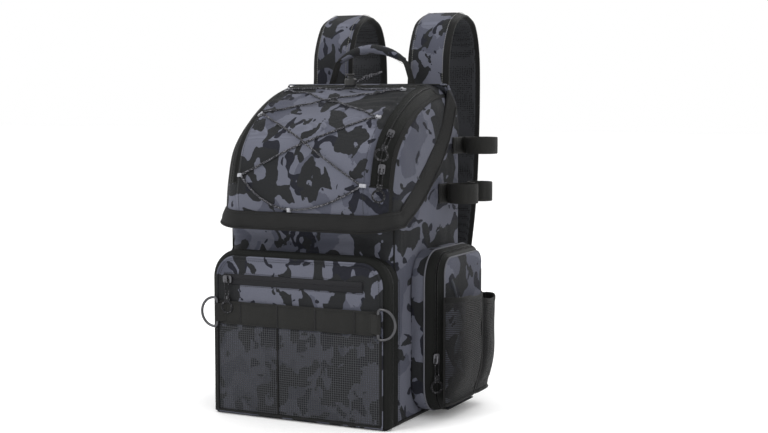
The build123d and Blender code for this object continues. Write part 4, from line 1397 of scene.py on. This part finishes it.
def shoulder_straps():
    centre = (STRAP_HIGH.x + STRAP_LOW.x) / 2
    path = spaced(curve(STRAP_PATH, 12), step=4.5)
    way = unit(np.gradient(path, axis=0))
    out = np.stack([-way[:, 1], way[:, 0]], 1)
    section, marks = strap_section()
    joint = joint_spot("shoulder_right_hinge")
    for side, sign in SIDES:
        rings = []
        for i, (y, z) in enumerate(path):
            puff = 1 + 0.10 * rumple((0, y, z), 28, 71 + sign)
            narrow = 1 - 0.30 * ease((i - len(path) + 12) / 12)
            rings.append([(sign * (centre + a * narrow), y + out[i, 0] * b * puff, z + out[i, 1] * b * puff)
                          for a, b in section])
        name = "shoulder_strap_" + side
        obj = loft(name, rings, [CAMO_STRAP, BINDING, PAD_MESH], None,
                   ("shoulder_pad_" + side, "shoulder_yoke_" + side), False, marks)
        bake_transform(obj)
        heap = Heap()
        for offset in (-1, 1):
            row = spaced([(sign * (centre + offset * 26.5), y + out[i, 0] * 6.1, z + out[i, 1] * 6.1)
                          for i, (y, z) in enumerate(path)], step=3.6)
            for a, c in zip(row[:-1], row[1:]):
                heap.bead(a + (c - a) * 0.15, a + (c - a) * 0.8, 0.42)
        thread = heap.piece("strap_stitching_" + side, THREAD_LIGHT, None, "camo_canvas")
        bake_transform(thread)


def handle():
    joint = joint_spot("handle_hinge")
    low, high = box("handle_grip")
    centre_y = (low.y + high.y) / 2
    end = high.x - 5
    spots = [(-end, low.z + 9), (-end * 0.55, high.z - 15), (0, high.z - 9), (end * 0.55, high.z - 15),
             (end, low.z + 9)]
    path = spaced(curve(spots), step=3)
    rings = []
    for i, (x, z) in enumerate(path):
        share = i / (len(path) - 1)
        swell = 0.62 + 0.38 * math.sin(math.pi * min(1, max(0, share * 1.1 - 0.05))) ** 0.5
        ring = []
        for a in np.arange(20) / 20 * 2 * math.pi:
            ring.append((x + 2.0 * math.sin(a) * (share - 0.5), centre_y + 9.0 * swell * math.cos(a),
                         z + 7.6 * swell * math.sin(a)))
        rings.append(ring)
    grip = loft("handle_grip_cover", rings, [CAMO_STRAP], None, ("handle_grip",))
    grip = puffed(grip, 0.0035, 0.004, 3.0)
    dress(grip, "handle")
    seam = [(x, centre_y, z - 7.0) for x, z in path[2:-2]]
    stitch("handle", seam)
    heap = Heap()
    for sign in (-1, 1):
        leg = [(sign * (end - 8), centre_y, low.z + 12), (sign * (end + 1), centre_y, low.z + 5),
               (sign * (end + 9), centre_y, low.z - 18), (sign * (end + 15), centre_y, joint.z + 3)]
        heap.ribbon(spaced(curve(leg, 8), step=3), (0, 1, 0), 20, 2.2)
    heap.piece("handle_legs", WEBBING, "handle", "black_webbing", ("handle_webbing",))


def puffed(obj, voxel, cap, pressure, frames=20):
    """Swell a closed form like stuffed cloth: remesh, run Cloth, cap the movement, subdivide once."""
    scene = bpy.context.scene
    bpy.context.view_layer.objects.active = obj
    remesh = obj.modifiers.new("remesh", "REMESH")
    remesh.mode = "VOXEL"
    remesh.voxel_size = voxel
    bake(obj)
    rest = np.array([v.co for v in obj.data.vertices], float)
    cloth = obj.modifiers.new("cloth", "CLOTH")
    settings = cloth.settings
    settings.quality = 5
    settings.mass = 0.3
    settings.use_pressure = True
    settings.uniform_pressure_force = pressure
    settings.effector_weights.gravity = 0.0
    cloth.point_cache.frame_start = 1
    cloth.point_cache.frame_end = frames
    for number in range(1, frames + 1):
        scene.frame_set(number)
    bake(obj)
    swollen = np.array([v.co for v in obj.data.vertices], float)
    move = swollen - rest
    length = np.maximum(np.linalg.norm(move, axis=1, keepdims=True), 1e-9)
    capped = rest + move / length * np.minimum(length, cap)
    obj.data.vertices.foreach_set("co", capped.ravel())
    obj.data.polygons.foreach_set("use_smooth", [True] * len(obj.data.polygons))
    scene.frame_set(1)
    smooth = obj.modifiers.new("finer", "SUBSURF")
    smooth.levels = 1
    smooth.render_levels = 1
    return obj


def bake(obj):
    """Replace an object's mesh by its evaluated one and clear its modifiers."""
    graph = bpy.context.evaluated_depsgraph_get()
    mesh = bpy.data.meshes.new_from_object(obj.evaluated_get(graph), depsgraph=graph)
    obj.modifiers.clear()
    obj.data = mesh


def pad_block(low, high, corner, crown):
    """Starting form of a back pad: rounded tablet, flat at the back, thinner at its rim."""
    nu, nv = 36, 48
    front, rear = [], []
    for i in range(nu + 1):
        for j in range(nv + 1):
            u, v = i / nu, j / nv
            x = low[0] + (high[0] - low[0]) * u
            z = low[2] + (high[2] - low[2]) * v
            edge = ease(min(u * (high[0] - low[0]), (1 - u) * (high[0] - low[0])) / corner)
            edge *= ease(min(v * (high[2] - low[2]), (1 - v) * (high[2] - low[2])) / corner)
            rear.append((x, low[1] + 3 + (high[1] - low[1] - 3) * edge ** 0.5 * crown, z))
            front.append((x, low[1], z))
    columns = nv + 1
    faces = quads(nu + 1, columns)
    base = len(front)
    faces += [tuple(base + k for k in face[::-1]) for face in quads(nu + 1, columns)]
    rim = [i * columns for i in range(nu + 1)] + [nu * columns + j for j in range(1, nv + 1)]
    rim += [i * columns + nv for i in range(nu - 1, -1, -1)] + list(range(nv - 1, 0, -1))
    for a, b in zip(rim, rim[1:] + rim[:1]):
        faces.append((b, a, base + a, base + b))
    return front + rear, faces


def back_pads():
    low, high = box("back_pads")
    spans = [((low.x, low.y + 0.5, 150), (-14, low.y + 9, high.z)),
             ((14, low.y + 0.5, 150), (high.x, low.y + 9, high.z)),
             ((low.x, low.y + 0.5, low.z), (high.x, low.y + 10, 138))]
    for name, (a, b) in zip(("left", "right", "lumbar"), spans):
        points, faces = pad_block(a, b, 14, 0.9)
        obj = make_object("back_pad_" + name, points, faces, [PAD_MESH])
        face_outwards(obj)
        obj = puffed(obj, 0.0055, 0.007, 4.0)
        dress(obj, "bag", ("back_pads",))
        loop = [(a[0], a[2]), (b[0], a[2]), (b[0], b[2]), (a[0], b[2]), (a[0], a[2])]
        edge = [(x, low.y + 1.0, z) for x, z in spaced(np.array(loop), step=5)][:-1]
        tube("back_pad_binding_" + name, edge, 2.2, BINDING, "bag", closed=True)


def lower_straps():
    anchor_low, anchor_high = box("strap_anchors")
    web_low = box("lower_webbing")[0]
    ladder_low, ladder_high = box("ladder_lock_right")
    centre = (ladder_low.x + ladder_high.x) / 2
    heap = Heap()
    for side, sign in SIDES:
        start = np.array((sign * centre, web_low.y + 0.5, web_low.z - 16))
        end = np.array((sign * centre, (ladder_low.y + ladder_high.y) / 2,
                        (ladder_low.z + ladder_high.z) / 2 - 3))
        path = [start, start + (0, 0.5, 12), start + (0, 6, 34), start + (end - start) * 0.6 + (0, 5, 0), end]
        obj = ribbon("lower_webbing_" + side, spaced(curve(path, 12), step=3), (1, 0, 0), 25, 1.6, WEBBING,
                     None,
                     ("lower_webbing",))
        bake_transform(obj)
        tab = [(sign * centre, anchor_low.y + 1.4, z) for z in np.linspace(anchor_low.z, anchor_high.z, 12)]
        heap.ribbon(tab, (1, 0, 0), 40, 2.4)
        cross = anchor_low.y + 3.0
        for z0, z1 in ((anchor_low.z + 4, anchor_high.z - 4), (anchor_high.z - 4, anchor_low.z + 4)):
            stitch("bag", [(sign * centre - 15, cross, z0), (sign * centre + 15, cross, z1)])
        # short strap from the padded strap's end through the ladder lock
        top = np.array((sign * centre, 215.0, 178.0))
        link = spaced(curve([top + (0, 2, 10), top, end + (0, 1.5, 12), end + (0, 0, 4)], 8), step=2.5)
        ribbon("ladder_link_" + side, link, (1, 0, 0), 24, 1.6, WEBBING, "shoulder_" + side)
    heap.piece("anchor_tabs", WEBBING, "bag", "black_webbing", ("strap_anchors",))


# ---- strips along the pockets' hinges ----
def pocket_hinge_strips():
    """Canvas along the hinge line between each pocket and what carries it."""
    low = lid_share_z(PANEL_LOW)

    def lid_strip(u, v):
        return on_lid((2 * u - 1) * (PANEL_HALF - 3), low - 0.012 + 0.032 * v, -0.5)
    obj = sheet("lid_pocket_hinge_cloth", lid_strip, (60, 13), 1.4, [CAMO_LID, LINING], None)
    spot = joint_spot("lid_pocket_hinge")
    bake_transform(obj)
    front, rear = POCKET_LOW.y + FRONT_TURN, POCKET_HIGH.y - REAR_TURN
    for side, sign in SIDES:
        def strip(u, v):
            return sign * (POCKET_SPLIT - 5 + 11 * v), front + (rear - front) * u, POCKET_LOW.z + 0.8
        obj = sheet("pocket_hinge_cloth_" + side, strip, (60, 13), 1.4, [BLACK, LINING], None)
        spot = joint_spot("side_pocket_%s_hinge" % side)
        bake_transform(obj)


# ---- CAD nodes that are shown as they are ----
def finish_nodes():
    kinds = {"d_ring": GUNMETAL, "slider": ZIP_METAL, "pull": PULL_CORD, "cord_lock_spring": STEEL,
             "cord_lock": MOULDED, "ladder": MOULDED, "board": STIFF, "sheet": STIFF, "floor": LINING}
    for name, obj in frame["nodes"].items():
        if obj.hide_render:
            continue
        finish = next((value for key, value in kinds.items() if key in name), MOULDED)
        obj.data.materials.clear()
        obj.data.materials.append(finish)
        obj.data.polygons.foreach_set("use_smooth", [True] * len(obj.data.polygons))
        if "spring" not in name and "ring" not in name:
            soft = obj.modifiers.new("soft_edges", "BEVEL")
            soft.width = 0.25 * MM
            soft.segments = 2
            soft.limit_method = "ANGLE"
        crisp = obj.modifiers.new("even_shading", "WEIGHTED_NORMAL")
        crisp.keep_sharp = True


# ---- stage ----
def stage():
    bpy.ops.mesh.primitive_plane_add(size=30, location=(0, 0, -0.0005))
    floor = bpy.context.object
    floor.name = "floor"
    material, _, surface = start_material("pale_floor", 0.6)
    surface.inputs["Base Color"].default_value = (0.985, 0.985, 0.985, 1)
    surface.inputs["Emission Color"].default_value = (1, 1, 1, 1)
    surface.inputs["Emission Strength"].default_value = 0.06
    floor.data.materials.append(material)
    world = bpy.data.worlds.new("studio")
    world.use_nodes = True
    world.node_tree.nodes["Background"].inputs[0].default_value = (1, 1, 1, 1)
    world.node_tree.nodes["Background"].inputs[1].default_value = 1.0
    bpy.context.scene.world = world
    target = Vector((0, 0, 0.30))
    for name, spot, size, power in (("key", (-1.3, -2.2, 2.2), 1.6, 46), ("fill", (2.4, -1.4, 1.2), 2.0, 8),
                                    ("rim", (0.4, 2.4, 2.0), 1.6, 35)):
        lamp = bpy.data.lights.new(name, "AREA")
        lamp.size = size
        lamp.energy = power
        obj = bpy.data.objects.new(name, lamp)
        obj.location = spot
        obj.rotation_mode = "QUATERNION"
        obj.rotation_quaternion = (target - Vector(spot)).to_track_quat("-Z", "Y")
        bpy.context.scene.collection.objects.link(obj)
    bpy.context.scene.view_settings.view_transform = "Standard"


def camera():
    lens = bpy.data.cameras.new("camera")
    lens.lens = 65.6
    lens.sensor_width = 36
    lens.clip_end = 100
    obj = bpy.data.objects.new("camera", lens)
    obj.location = (1.0056, -1.9075, 0.4823)
    obj.rotation_mode = "QUATERNION"
    obj.rotation_quaternion = Vector((-0.4367, 0.8954, -0.0872)).to_track_quat("-Z", "Y")
    bpy.context.scene.collection.objects.link(obj)
    bpy.context.scene.camera = obj


PIPING_CAMO = camo("camo_piping", (0.55, 0.28, 0.07), 0.85)
THREAD_LIGHT = fabric("light_thread", tint(120, 120, 116), 0.6, 0.1, 0.5, 0.3)

body_sides()
body_front()
body_back()
body_base()
main_zip()
door_face()
door_gusset()
door_net()
webbing_row()
front_zip()
lid_panel()
lid_band()
lid_sides()
lid_lining()
lid_hinge_cloth()
lid_flap()
cords()
side_pockets()
rod_tubes()
rod_straps()
shoulder_straps()
handle()
back_pads()
lower_straps()
pocket_hinge_strips()
for owner, store in THREADS.items():
    store.piece("stitching_" + owner, THREAD, owner, "black_canvas")
for owner, store in TEETH.items():
    store.piece("zip_teeth_" + owner, COIL, owner, "zip_metal")
finish_nodes()
stage()
camera()
